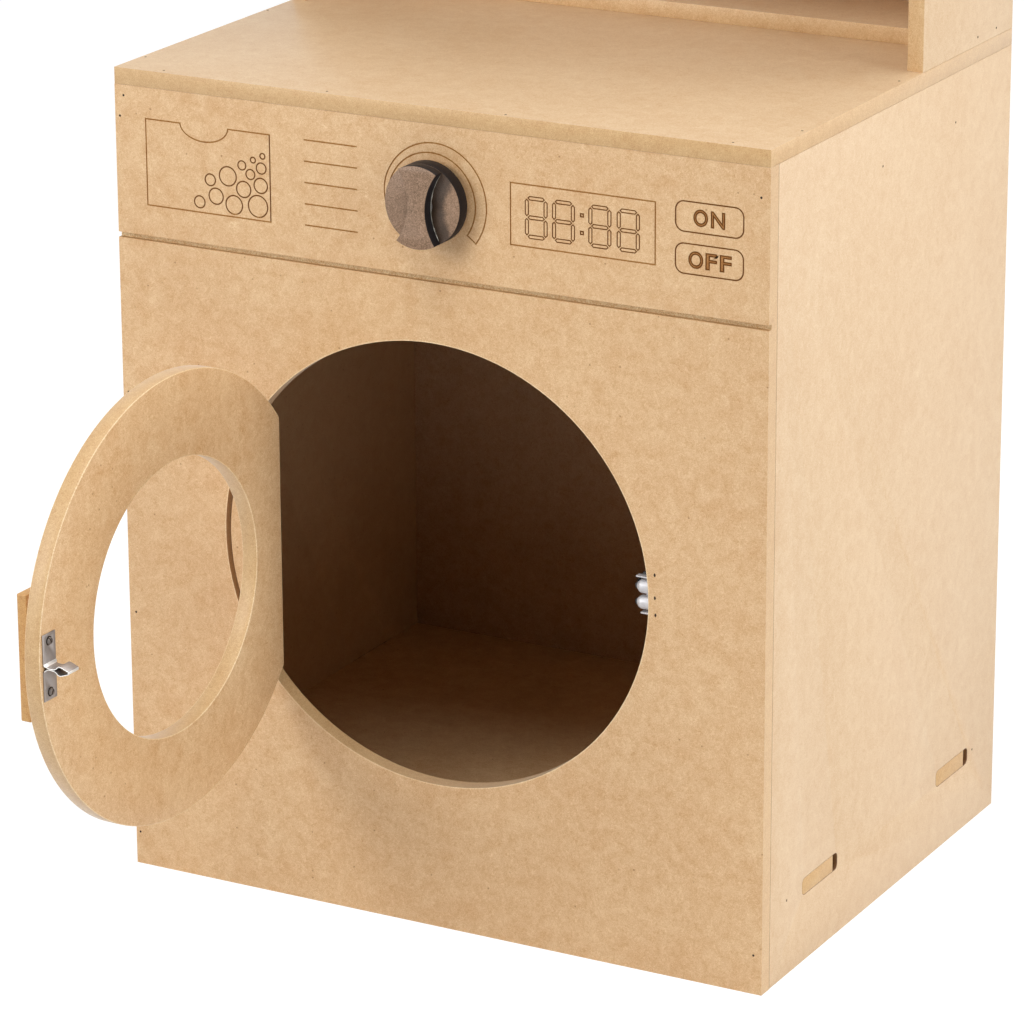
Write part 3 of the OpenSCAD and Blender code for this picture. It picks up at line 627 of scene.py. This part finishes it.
# the saw groove's floor is painted lighter than the face, as painted light, and its walls darker, as
# painted shade
groove_floor_painted_light = board_finish("saw_groove", srgb(230, 200, 154), fibres=1.6, bump=0.3, gloss=0.2)
groove_wall_painted_shade = board_finish("saw_groove_wall", srgb(196, 158, 112), fibres=1.6, bump=0.3, gloss=0.2)
for finish in (scorch_finish, light_burn, deep_burn, fill_finish, groove_floor_painted_light, groove_wall_painted_shade, painted_arris_highlight):
    panel.data.materials.append(finish)
SCORCH, LIGHT, DEEP, FILL, GROOVE, GROOVE_WALL_SHADE, ARRIS_HIGHLIGHT = range(3, 10)

# the strokes of the letters are burnt all over: each is an island of the front face
island_of = {p.index: p.index for p in panel.data.polygons if on_front(p) and in_strip(p.center)}
edge_owner = {}


def root(index):
    """The face that stands for the island which holds this one."""
    while island_of[index] != index:
        island_of[index] = island_of[island_of[index]]
        index = island_of[index]
    return index


for index in list(island_of):
    for key in panel.data.polygons[index].edge_keys:
        if key in edge_owner:
            island_of[root(index)] = root(edge_owner[key])
        edge_owner[key] = index
islands = {}
for index in island_of:
    islands.setdefault(root(index), []).append(index)


def is_stroke(points):
    """Whether an island with these corners fills one of the letters' outlines."""
    x_low, x_high = min(p.x for p in points), max(p.x for p in points)
    z_low, z_high = min(p.z for p in points), max(p.z for p in points)
    for letter, left, right, low, high in letters:
        off_x = abs(x_low + x_high - (left + right) * MM)
        off_z = abs(z_low + z_high - (low + high) * MM)
        fills = (z_high - z_low) / ((high - low) * MM)
        if off_x < 1.5 * MM and off_z < 1.5 * MM and 0.7 < fills < 1:
            return True
    return False


for members in islands.values():
    faces = [panel.data.polygons[index] for index in members]
    if is_stroke([panel.data.vertices[v].co for face in faces for v in face.vertices]):
        for face in faces:
            face.material_index = FILL

pick(panel)
bpy.ops.object.mode_set(mode="EDIT")
bpy.ops.mesh.select_mode(type="FACE")
bpy.ops.mesh.select_all(action="DESELECT")
bpy.ops.object.mode_set(mode="OBJECT")
for polygon in panel.data.polygons:
    polygon.select = on_front(polygon) and polygon.material_index != FILL
bpy.ops.object.mode_set(mode="EDIT")
bpy.ops.mesh.inset(thickness=SCORCH_WIDTH, depth=0, use_boundary=True)
bpy.ops.object.mode_set(mode="OBJECT")

# the band of painted highlight round the porthole is pushed outward to widen it
for vertex in panel.data.vertices:
    if abs(vertex.co.y) < FLAT and 0.1 * MM < from_porthole(vertex.co) < 0.35 * MM:
        away = (vertex.co - door_middle) * Vector((1, 0, 1))
        vertex.co += away.normalized() * HIGHLIGHT_WIDENING
# the suds, the clock's digits and the words are burnt deepest: left, right, low, high
deep_boxes = [(-160, -100, 417, 457), (55, 132, 424, 454), (148, 200, 414, 466)]
for polygon in panel.data.polygons:
    middle = polygon.center
    if polygon.material_index == FILL:
        continue
    if in_strip(middle) and FLAT < middle.y < LINE_DEPTH + 2 * FLAT:
        x, z = middle.x / MM, middle.z / MM
        inside = any(left < x < right and low < z < high for left, right, low, high in deep_boxes)
        polygon.material_index = DEEP if inside else LIGHT
    elif in_strip(middle) and on_front(polygon) and not polygon.select:
        polygon.material_index = SCORCH
    # in the saw groove the floor gets the painted light and the up- and down-facing walls the painted shade
    elif GROOVE_LOW < middle.z < STRIP_LOW and 0.05 * MM < middle.y < 6 * MM:
        polygon.material_index = GROOVE_WALL_SHADE if abs(polygon.normal.z) > 0.5 else GROOVE
    # the pale band round the porthole: painted highlight
    elif on_front(polygon) and not polygon.select and abs(from_porthole(middle)) < 1.2 * MM:
        polygon.material_index = ARRIS_HIGHLIGHT

placed(panel, "cabinet", "fibreboard", "front_panel")

# ---------------------------------------------------------------- hinge segment
# The slice of the sawn-out disc that stays in the panel and carries the hinges.
segment = copy_of_node("hinge_segment", "hinge_segment_board")
face_and_edge(segment, (0, 1, 0))
placed(segment, "cabinet", "fibreboard", "hinge_segment")

# ---------------------------------------------------------------- door
# The sawn-out disc with a straight chord at the hinges and an oval window without
# glass. It stands open, so it is shaped shut and then swung about its pins.
DOOR_OPEN = math.radians(91)
pin = Vector((-113 * MM, -1.4 * MM, 0))
DISC_HALF_WIDTH, DISC_HALF_HEIGHT = 135.6 * MM, 130.6 * MM
WINDOW_HALF_WIDTH, WINDOW_HALF_HEIGHT = 83.6 * MM, 80.8 * MM
chord_x = -112.25 * MM


def turn_about(point, angle, axis):
    """A turn by this angle about the axis through a point."""
    return Matrix.Translation(point) @ Matrix.Rotation(angle, 4, axis) @ Matrix.Translation(-point)


swing = turn_about(pin, -DOOR_OPEN, "Z")
door_thin = swing.to_3x3() @ Vector((0, 1, 0))


def swing_open(piece):
    """Turns a piece of the shut door to where it stands open."""
    piece.matrix_world = swing @ piece.matrix_world
    settle(piece)


def oval_loop(name, across, up):
    """An empty oval in the door's plane, as a loop of edges."""
    deselect()
    bpy.ops.mesh.primitive_circle_add(
        vertices=160, radius=1, location=door_middle, rotation=(math.pi / 2, 0, 0))
    loop = bpy.context.object
    loop.name = name
    loop.scale = (across, up, 1)
    settle(loop)
    return loop


door = oval_loop("door_board", DISC_HALF_WIDTH, DISC_HALF_HEIGHT)
bpy.ops.object.mode_set(mode="EDIT")
bpy.ops.mesh.select_all(action="SELECT")
bpy.ops.mesh.bisect(plane_co=(chord_x, 0, 0), plane_no=(1, 0, 0), clear_inner=True)
bpy.ops.mesh.select_all(action="DESELECT")
bpy.ops.object.mode_set(mode="OBJECT")
for vertex in door.data.vertices:
    vertex.select = abs(vertex.co.x - chord_x) < 1e-6
bpy.ops.object.mode_set(mode="EDIT")
bpy.ops.mesh.select_mode(type="VERT")
bpy.ops.mesh.edge_face_add()
bpy.ops.mesh.subdivide(number_cuts=24)
bpy.ops.object.mode_set(mode="OBJECT")
window = oval_loop("window_loop", WINDOW_HALF_WIDTH, WINDOW_HALF_HEIGHT)
pick(door)
window.select_set(True)
bpy.ops.object.join()
bpy.ops.object.mode_set(mode="EDIT")
bpy.ops.mesh.select_all(action="SELECT")
bpy.ops.mesh.bridge_edge_loops()
bpy.ops.mesh.select_all(action="SELECT")
bpy.ops.mesh.extrude_region_move(TRANSFORM_OT_translate={"value": (0, BOARD, 0)})
bpy.ops.mesh.select_all(action="SELECT")
bpy.ops.mesh.normals_make_consistent(inside=False)
bpy.ops.object.mode_set(mode="OBJECT")
ease_edges(door, 0.45 * MM)
swing_open(door)
# the door's eased arrises carry the painted highlight
face_and_edge(door, door_thin, arris=painted_arris_highlight)
placed(door, "door", "fibreboard", "door_ring")

# The handle is a bar on a narrower spacer, so that fingers reach behind its free edge.
HANDLE_EDGE, HANDLE_LOW, HANDLE_HIGH = 120 * MM, 185.5 * MM, 259.5 * MM
SPACER_FRONT, BAR_FRONT = -6.9 * MM, -13.5 * MM
spacer = block(
    "handle_spacer_strip",
    (HANDLE_EDGE - 24 * MM, SPACER_FRONT, HANDLE_LOW),
    (HANDLE_EDGE - 5 * MM, 0, HANDLE_HIGH),
)
bar = block(
    "handle_bar_strip",
    (HANDLE_EDGE - 26 * MM, BAR_FRONT, HANDLE_LOW),
    (HANDLE_EDGE, SPACER_FRONT, HANDLE_HIGH),
)
handle_edge_finish = board_finish(
    "handle_sawn_edge", srgb(201, 153, 92), clouds=0.8, fibres=1.2, bump=0.25, gloss=0.5)
for piece, node, slot in ((spacer, "handle_spacer", "fibreboard_inner"), (bar, "handle_bar", "fibreboard")):
    ease_edges(piece, 0.7 * MM, segments=3)
    swing_open(piece)
    face_and_edge(piece, door_thin, edge=handle_edge_finish)
    placed(piece, "door", slot, node)

# ---------------------------------------------------------------- metal
# The strike, screws, hinges and bolt are plain steel with fine rolling marks; the
# catch is bright zinc plate; the nails are dull and dark.
worn, wants, gives = new_group(
    "worn_metal",
    [("Color", "NodeSocketColor", (0.6, 0.6, 0.6, 1)), ("Roughness", "NodeSocketFloat", 0.35)],
    [("Color", "NodeSocketColor"), ("Roughness", "NodeSocketFloat"), ("Height", "NodeSocketFloat")],
)
place = add(worn, "ShaderNodeTexCoord").outputs["Object"]
stretch = add(worn, "ShaderNodeMapping")
stretch.inputs["Scale"].default_value = (1, 1, 0.08)
worn.links.new(place, stretch.inputs["Vector"])
rolled = noise(worn, stretch.outputs[0], 4200, 3, 0.6)
stain = noise(worn, place, 420, 4, 0.65)
shade = math_node(
    worn, "ADD", math_node(worn, "MULTIPLY", rolled, 0.12), math_node(worn, "MULTIPLY", stain, 0.30))
tone = add(worn, "ShaderNodeVectorMath", operation="SCALE")
worn.links.new(wants.outputs["Color"], tone.inputs[0])
worn.links.new(math_node(worn, "ADD", shade, 0.79), tone.inputs["Scale"])
worn.links.new(tone.outputs[0], gives.inputs["Color"])
roughness = math_node(worn, "ADD", wants.outputs["Roughness"], about_middle(worn, stain, 0.35))
worn.links.new(roughness, gives.inputs["Roughness"])
worn.links.new(rolled, gives.inputs["Height"])


def metal_finish(name, color, rough, metallic, bump=0.05, shine=0.5):
    """A metal of this colour and roughness, or glue and dull coatings where metallic is 0."""
    values = {"Color": (*color, 1), "Roughness": rough}
    material, shader = dressed(name, worn, values, bump, 0.1 * MM)
    shader.inputs["Metallic"].default_value = metallic
    shader.inputs["Specular IOR Level"].default_value = shine
    return material


steel = metal_finish("rolled_steel", (0.36, 0.33, 0.315), 0.5, 0.85)
zinc = metal_finish("zinc_plate", (0.62, 0.62, 0.65), 0.42, 0.3)
# dull dark brads, also used to paint shade in the strike's screw holes and the screws' slots
brad_steel = metal_finish("dull_brad_and_painted_shade", (0.055, 0.035, 0.024), 0.75, 0.0, shine=0.06)
screw_steel = metal_finish("tarnished_screw", (0.17, 0.145, 0.13), 0.42, 0.8)
# bright steel for the strike's cut edges, also painted on its upper bend as a highlight
bright_cut_edge_and_painted_glint = metal_finish("bare_cut_steel_and_painted_glint", (0.88, 0.87, 0.85), 0.35, 0.5)
spring_steel = metal_finish("blued_spring_steel", (0.035, 0.037, 0.040), 0.5, 0.3)
slot_of = {row["node"]: row["material_slot"] for row in frame["record"]["subparts"]}


def carry_over(node, material):
    """The CAD node itself is shown, with this material."""
    mesh = frame["nodes"][node].data
    mesh.materials.clear()
    mesh.materials.append(material)


for node in ("hinge_pins", "knob_bolt", "knob_washer", "knob_nut"):
    carry_over(node, steel)


def eased_copy(node, body, material, width=0.12 * MM):
    """A copy of a CAD node with its sharp edges broken, in this material."""
    piece = copy_of_node(node, node + "_eased")
    join_flats(piece)
    ease_edges(piece, width)
    piece.data.materials.append(material)
    placed(piece, body, slot_of[node], node)
    return piece


for node in ("fixed_leaves", "fixed_leaf_screws", "catch_screws"):
    eased_copy(node, "cabinet", steel)
for node in ("door_leaves", "door_leaf_screws"):
    eased_copy(node, "door", steel)

# ---------------------------------------------------------------- roller catch
# A bent housing holds two spring arms, each with a turned roller whose ends taper.
# It is bright zinc plate, on blued springs.
CATCH_HEIGHT = 223.5 * MM
CATCH_EDGE = 0.15 * MM
housing = eased_copy("catch_housing", "cabinet", zinc, CATCH_EDGE)
# its upper flange reaches further out
for vertex in housing.data.vertices:
    co = vertex.co
    if 233 * MM < co.z < 235.5 * MM and co.x < 127.5 * MM and co.y < 18 * MM:
        co.x -= 3 * MM
for which in ("upper", "lower"):
    eased_copy(which + "_spring_arm", which + "_arm", spring_steel, CATCH_EDGE)


def turned(name, start, profile):
    """A closed turned form along X from start, through pairs of distance along and radius."""
    start = Vector(start)
    deselect()
    bpy.ops.mesh.primitive_circle_add(
        vertices=48, radius=profile[0][1], fill_type="NGON", location=start, rotation=(0, math.pi / 2, 0))
    piece = bpy.context.object
    piece.name = name
    settle(piece)
    bpy.ops.object.mode_set(mode="EDIT")
    bpy.ops.mesh.select_all(action="SELECT")
    for (along0, radius0), (along1, radius1) in zip(profile, profile[1:]):
        centre = start + Vector((along1, 0, 0))
        bpy.ops.mesh.extrude_region_move(TRANSFORM_OT_translate={"value": (along1 - along0, 0, 0)})
        bpy.ops.transform.resize(value=(radius1 / radius0,) * 3, center_override=centre)
    bpy.ops.mesh.select_all(action="SELECT")
    bpy.ops.mesh.normals_make_consistent(inside=False)
    bpy.ops.object.mode_set(mode="OBJECT")
    bpy.ops.object.shade_smooth_by_angle(angle=math.radians(35))
    return piece


ROLLER_X, ROLLER_Y, ROLLER_OFFSET = 122.8 * MM, 15.3 * MM, 4.75 * MM
# the distance along a roller and its radius there, in millimetres
roller_profile = [
    (0, 1.9), (0.3, 2.3), (1.2, 3.1), (2.2, 3.85), (2.7, 4.02), (3.3, 4.1),
    (8.4, 4.1), (9.0, 3.92), (9.8, 2.8), (10.0, 2.4),
]
profile = [(along * MM, radius * MM) for along, radius in roller_profile]
for which, side in (("upper", 1), ("lower", -1)):
    start = (ROLLER_X, ROLLER_Y, CATCH_HEIGHT + side * ROLLER_OFFSET)
    roller = turned(which + "_roller_barrel", start, profile)
    roller.data.materials.append(zinc)
    placed(roller, which + "_roller_body", "zinc_plated", which + "_roller")

# ---------------------------------------------------------------- strike
# One strip of steel, folded so that its middle stands out as a two-leaved spear, and
# held to the door's inner face by two slotted screws.
STRIKE_X, STRIKE_HALF = 125 * MM, 6 * MM
# one half of the fold, from the foot's end to the spear's tip: the height above the
# strike's middle and the reach from the door's inner face, in millimetres
half_fold = [
    (19.2, 0.45), (2.6, 0.45), (1.5, 0.9), (0.8, 1.7), (0.35, 3.0), (0.28, 4.2), (0.28, 5.6), (0.5, 6.9),
    (1.1, 8.0), (2.0, 9.0), (2.5, 9.9), (2.6, 10.6), (2.45, 11.4), (0.9, 15.6), (0.6, 16.0),
]
path = [(BOARD + out * MM, CATCH_HEIGHT + up * MM) for up, out in half_fold]
path += [(BOARD + out * MM, CATCH_HEIGHT - up * MM) for up, out in reversed(half_fold)]
deselect()
bpy.ops.mesh.primitive_plane_add(size=1)
strike = bpy.context.object
strike.name = "strike_strip"
bpy.ops.object.mode_set(mode="EDIT")
bpy.ops.mesh.select_all(action="SELECT")
bpy.ops.mesh.delete(type="ONLY_FACE")
bpy.ops.mesh.select_all(action="DESELECT")
bpy.ops.object.mode_set(mode="OBJECT")
for vertex in strike.data.vertices:
    vertex.select = vertex.index >= 2
bpy.ops.object.mode_set(mode="EDIT")
bpy.ops.mesh.delete(type="VERT")
bpy.ops.object.mode_set(mode="OBJECT")
for vertex, x in zip(strike.data.vertices, (STRIKE_X - STRIKE_HALF, STRIKE_X + STRIKE_HALF)):
    vertex.co = (x, path[0][0], path[0][1])
bpy.ops.object.mode_set(mode="EDIT")
bpy.ops.mesh.select_mode(type="EDGE")
bpy.ops.mesh.select_all(action="SELECT")
for (y0, z0), (y1, z1) in zip(path, path[1:]):
    bpy.ops.mesh.extrude_edges_move(TRANSFORM_OT_translate={"value": (0, y1 - y0, z1 - z0)})
bpy.ops.mesh.select_all(action="SELECT")
bpy.ops.mesh.normals_make_consistent(inside=False)
bpy.ops.object.mode_set(mode="OBJECT")
# the spear is a little narrower than the foot
for vertex in strike.data.vertices:
    if vertex.co.y > BOARD + 1.2 * MM:
        vertex.co.x = STRIKE_X + math.copysign(STRIKE_HALF - 1 * MM, vertex.co.x - STRIKE_X)
pick(strike)
skin = strike.modifiers.new("thickness", "SOLIDIFY")
skin.thickness = 0.5 * MM
skin.offset = 0
bpy.ops.object.modifier_apply(modifier="thickness")
screw_heights = [CATCH_HEIGHT - 14.7 * MM, CATCH_HEIGHT + 14.7 * MM]
for screw_height in screw_heights:
    deselect()
    bpy.ops.mesh.primitive_cylinder_add(
        vertices=40, radius=2.7 * MM, depth=4 * MM,
        location=(STRIKE_X, BOARD + 2.45 * MM, screw_height), rotation=(math.pi / 2, 0, 0))
    hole = bpy.context.object
    settle(hole)
    cut_away(strike, hole)
ease_edges(strike, 0.12 * MM)
for finish in (steel, brad_steel, bright_cut_edge_and_painted_glint):
    strike.data.materials.append(finish)
for polygon in strike.data.polygons:
    middle, facing = polygon.center, polygon.normal
    out = middle.y - BOARD
    from_screw = min(math.hypot(middle.x - STRIKE_X, middle.z - height) for height in screw_heights)
    # the sheet's cut edges and the spear's tip are bare bright steel; the band along the upper bend is
    # painted highlight
    on_edge = out > 1 * MM and (abs(facing.x) > 0.3 or facing.y > 0.75 and out > 15 * MM)
    upper_bend_painted_glint = 0.7 * MM < out < 2.2 * MM and 0.3 < facing.y < 0.95 and facing.z > 0
    # the walls of the screw holes are painted dark as shade
    if from_screw < 2.72 * MM and out < 0.6 * MM:
        polygon.material_index = 1
    elif on_edge or upper_bend_painted_glint:
        polygon.material_index = 2
swing_open(strike)
placed(strike, "door", "steel", "strike_plate")

# its screws are tarnished, and their slots are painted dark as shade
screws = eased_copy("strike_screws", "door", screw_steel, 0.1 * MM)
screws.data.materials.append(brad_steel)
unswing = swing.inverted()
for polygon in screws.data.polygons:
    shut = unswing @ polygon.center
    facing = unswing.to_3x3() @ polygon.normal
    for screw_height, lean in zip(screw_heights, (-30, 30)):
        turn = Matrix.Rotation(math.radians(lean), 4, "Y")
        local = turn.inverted() @ (shut - Vector((STRIKE_X, BOARD, screw_height)))
        in_slot = abs(local.x) < 0.42 * MM and (local.y < 1.9 * MM or facing.y < 0.8)
        if local.length < 4 * MM and in_slot:
            polygon.material_index = 1

# ---------------------------------------------------------------- knob
# Two sawn layers: a disc, and on it a ridge between two round finger hollows. The
# faces are stained grey-brown and the walls are charred by the cutter.
stain_color = srgb(143, 114, 90)
stained = {"clouds": 1.25, "fibres": 2.1, "flecks": 0.6, "gloss": 0.5, "swing": (0.9, 1.0, 1.2)}
knob_face = board_finish("stained_face", stain_color, **stained)
knob_char = board_finish("charred_wall", srgb(31, 27, 28), clouds=0.5, fibres=1.5, flecks=0, gloss=0.12)
KNOB_MIDDLE = Vector((0.5 * MM, -12.1 * MM, 441.2 * MM))
SCOOP_RADIUS, SCOOP_REACH, SCOOP_HALF_ANGLE = 35 * MM, 40.5 * MM, math.radians(33)
KNOB_LEAN = math.radians(2)

# painted shadow: the floor of the right hollow is painted darker beside the ridge, fading out with a ragged
# edge
knob_floor_painted_shadow = board_finish("floor_painted_shadow", stain_color, **stained)
tree = knob_floor_painted_shadow.node_tree
base_color = tree.nodes["Principled BSDF"].inputs["Base Color"]
plain = base_color.links[0].from_socket
place = add(tree, "ShaderNodeTexCoord").outputs["Object"]
reach = add(tree, "ShaderNodeVectorMath", "distance from the hollow's middle", operation="DISTANCE")
flat = add(tree, "ShaderNodeVectorMath", operation="MULTIPLY")
flat.inputs[1].default_value = (1, 0, 1)
tree.links.new(place, flat.inputs[0])
tree.links.new(flat.outputs[0], reach.inputs[0])
hollow_x = KNOB_MIDDLE.x + SCOOP_REACH * math.cos(KNOB_LEAN)
hollow_z = KNOB_MIDDLE.z - SCOOP_REACH * math.sin(KNOB_LEAN)
reach.inputs[1].default_value = (hollow_x, 0, hollow_z)
drift = about_middle(tree, noise(tree, place, 190, 3, 0.6), 5 * MM)
ragged = math_node(tree, "ADD", reach.outputs["Value"], drift)
shadow_fade = add(tree, "ShaderNodeMapRange", "shadow_fade", clamp=True, interpolation_type="SMOOTHSTEP")
shadow_fade.inputs["From Min"].default_value = 24.5 * MM
shadow_fade.inputs["From Max"].default_value = 28.5 * MM
shadow_fade.inputs["To Max"].default_value = 0.92
tree.links.new(ragged, shadow_fade.inputs["Value"])
# the painted shadow darkens the floor's own colour
painted_shadow = add(tree, "ShaderNodeMix", "painted_shadow", data_type="RGBA", blend_type="MULTIPLY")
painted_shadow.inputs[7].default_value = (0.17, 0.15, 0.13, 1)
in_hollow = math_node(tree, "LESS_THAN", reach.outputs["Value"], SCOOP_RADIUS + 2 * MM)
tree.links.new(math_node(tree, "MULTIPLY", shadow_fade.outputs[0], in_hollow), painted_shadow.inputs[0])
tree.links.new(plain, painted_shadow.inputs[6])
tree.links.new(painted_shadow.outputs[2], base_color)

for node, name in (("knob_base", "knob_disc"), ("knob_ridge", "knob_grip")):
    layer = copy_of_node(node, name)
    join_flats(layer)
    ease_edges(layer, 0.25 * MM)
    face_and_edge(layer, (0, 1, 0), knob_floor_painted_shadow if node == "knob_base" else knob_face, knob_char)
    placed(layer, "knob", "knob_wood", node)
carry_over("knob_spacer", edge_finish)

# a bead of dried glue along the foot of each wall of the ridge
glue = metal_finish("dried_glue", srgb(165, 160, 148), 0.3, 0.0, bump=0.3)
for name, side in (("glue_bead_right", 1), ("glue_bead_left", -1)):
    scoop_middle = KNOB_MIDDLE + Vector((side * SCOOP_REACH, 0, 0))
    to_wall = Vector((-side * (SCOOP_RADIUS - 0.15 * MM), 0, 0))
    start = scoop_middle + Matrix.Rotation(-SCOOP_HALF_ANGLE, 3, "Y") @ to_wall
    deselect()
    bpy.ops.mesh.primitive_circle_add(vertices=10, radius=0.42 * MM, location=start)
    bead = bpy.context.object
    bead.name = name
    settle(bead)
    bpy.ops.object.mode_set(mode="EDIT")
    bpy.ops.mesh.select_all(action="SELECT")
    bpy.ops.mesh.spin(steps=90, angle=2 * SCOOP_HALF_ANGLE, center=scoop_middle, axis=(0, -1, 0))
    bpy.ops.mesh.select_all(action="SELECT")
    bpy.ops.mesh.fill_holes(sides=12)
    bpy.ops.mesh.normals_make_consistent(inside=False)
    bpy.ops.object.mode_set(mode="OBJECT")
    for vertex in bead.data.vertices:
        away = vertex.co - scoop_middle
        foot = scoop_middle + Vector((away.x, 0, away.z)).normalized() * (SCOOP_RADIUS - 0.1 * MM)
        swell = 0.62 + 1.3 * noise_at((vertex.co.x * 330, 0, vertex.co.z * 330))
        vertex.co = foot + (vertex.co - foot) * max(0.25, swell)
    bead.matrix_world = turn_about(KNOB_MIDDLE, KNOB_LEAN, "Y")
    settle(bead)
    bpy.ops.object.shade_smooth()
    bead.data.materials.append(glue)
    placed(bead, "knob", "knob_wood")

# ---------------------------------------------------------------- shelf unit
# A plain open unit stands on the machine: two sides, a low board at its foot, one
# shelf and a top board.
unit_edge = board_finish("shelf_unit_edge", srgb(214, 177, 129), bump=0.25, fuzz=0.2)
for name, thin in (
    ("hutch_left_side", (1, 0, 0)),
    ("hutch_right_side", (1, 0, 0)),
    ("hutch_bottom", (0, 0, 1)),
    ("hutch_shelf", (0, 0, 1)),
    ("hutch_top", (0, 0, 1)),
):
    low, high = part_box(name)
    board = block(name + "_board", low, high)
    ease_edges(board)
    face_and_edge(board, thin, face_with_painted_sheen, unit_edge)
    placed(board, "cabinet", "fibreboard", name)

# ---------------------------------------------------------------- nails
# Headless brads hold the boards together. Their ends show as small dark dots.
HEAD_PROUD = 0.06 * MM
catch_nails = [(140.9 * MM, 241.7 * MM), (141.1 * MM, 228.1 * MM), (141.5 * MM, 218 * MM)]
for node in ("front_brads", "catch_brads", "top_brads", "side_brads", "back_brads", "hutch_brads"):
    nails = copy_of_node(node, node + "_heads")
    join_flats(nails)
    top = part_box(node)[1].z
    if node == "catch_brads":
        # these were driven askew: each end is a narrow upright oval
        for vertex in nails.data.vertices:
            co = vertex.co
            x, z = min(catch_nails, key=lambda nail: math.hypot(nail[0] - co.x, nail[1] - co.z))
            co.x = x + (co.x - x) * 0.85
            co.z = z + (co.z - z) * 1.55
    for vertex in nails.data.vertices:
        co = vertex.co
        if node in ("front_brads", "catch_brads") and co.y < FLAT:
            co.y -= HEAD_PROUD
        elif node == "back_brads" and co.y > depth - FLAT:
            co.y += HEAD_PROUD
        elif node in ("top_brads", "hutch_brads") and co.z > top - FLAT:
            co.z += HEAD_PROUD
        if node in ("side_brads", "hutch_brads") and abs(abs(co.x) - half_width) < FLAT:
            co.x += math.copysign(HEAD_PROUD, co.x)
    ease_edges(nails, 0.05 * MM, segments=1)
    nails.data.materials.append(brad_steel)
    placed(nails, "cabinet", "brad_steel", node)
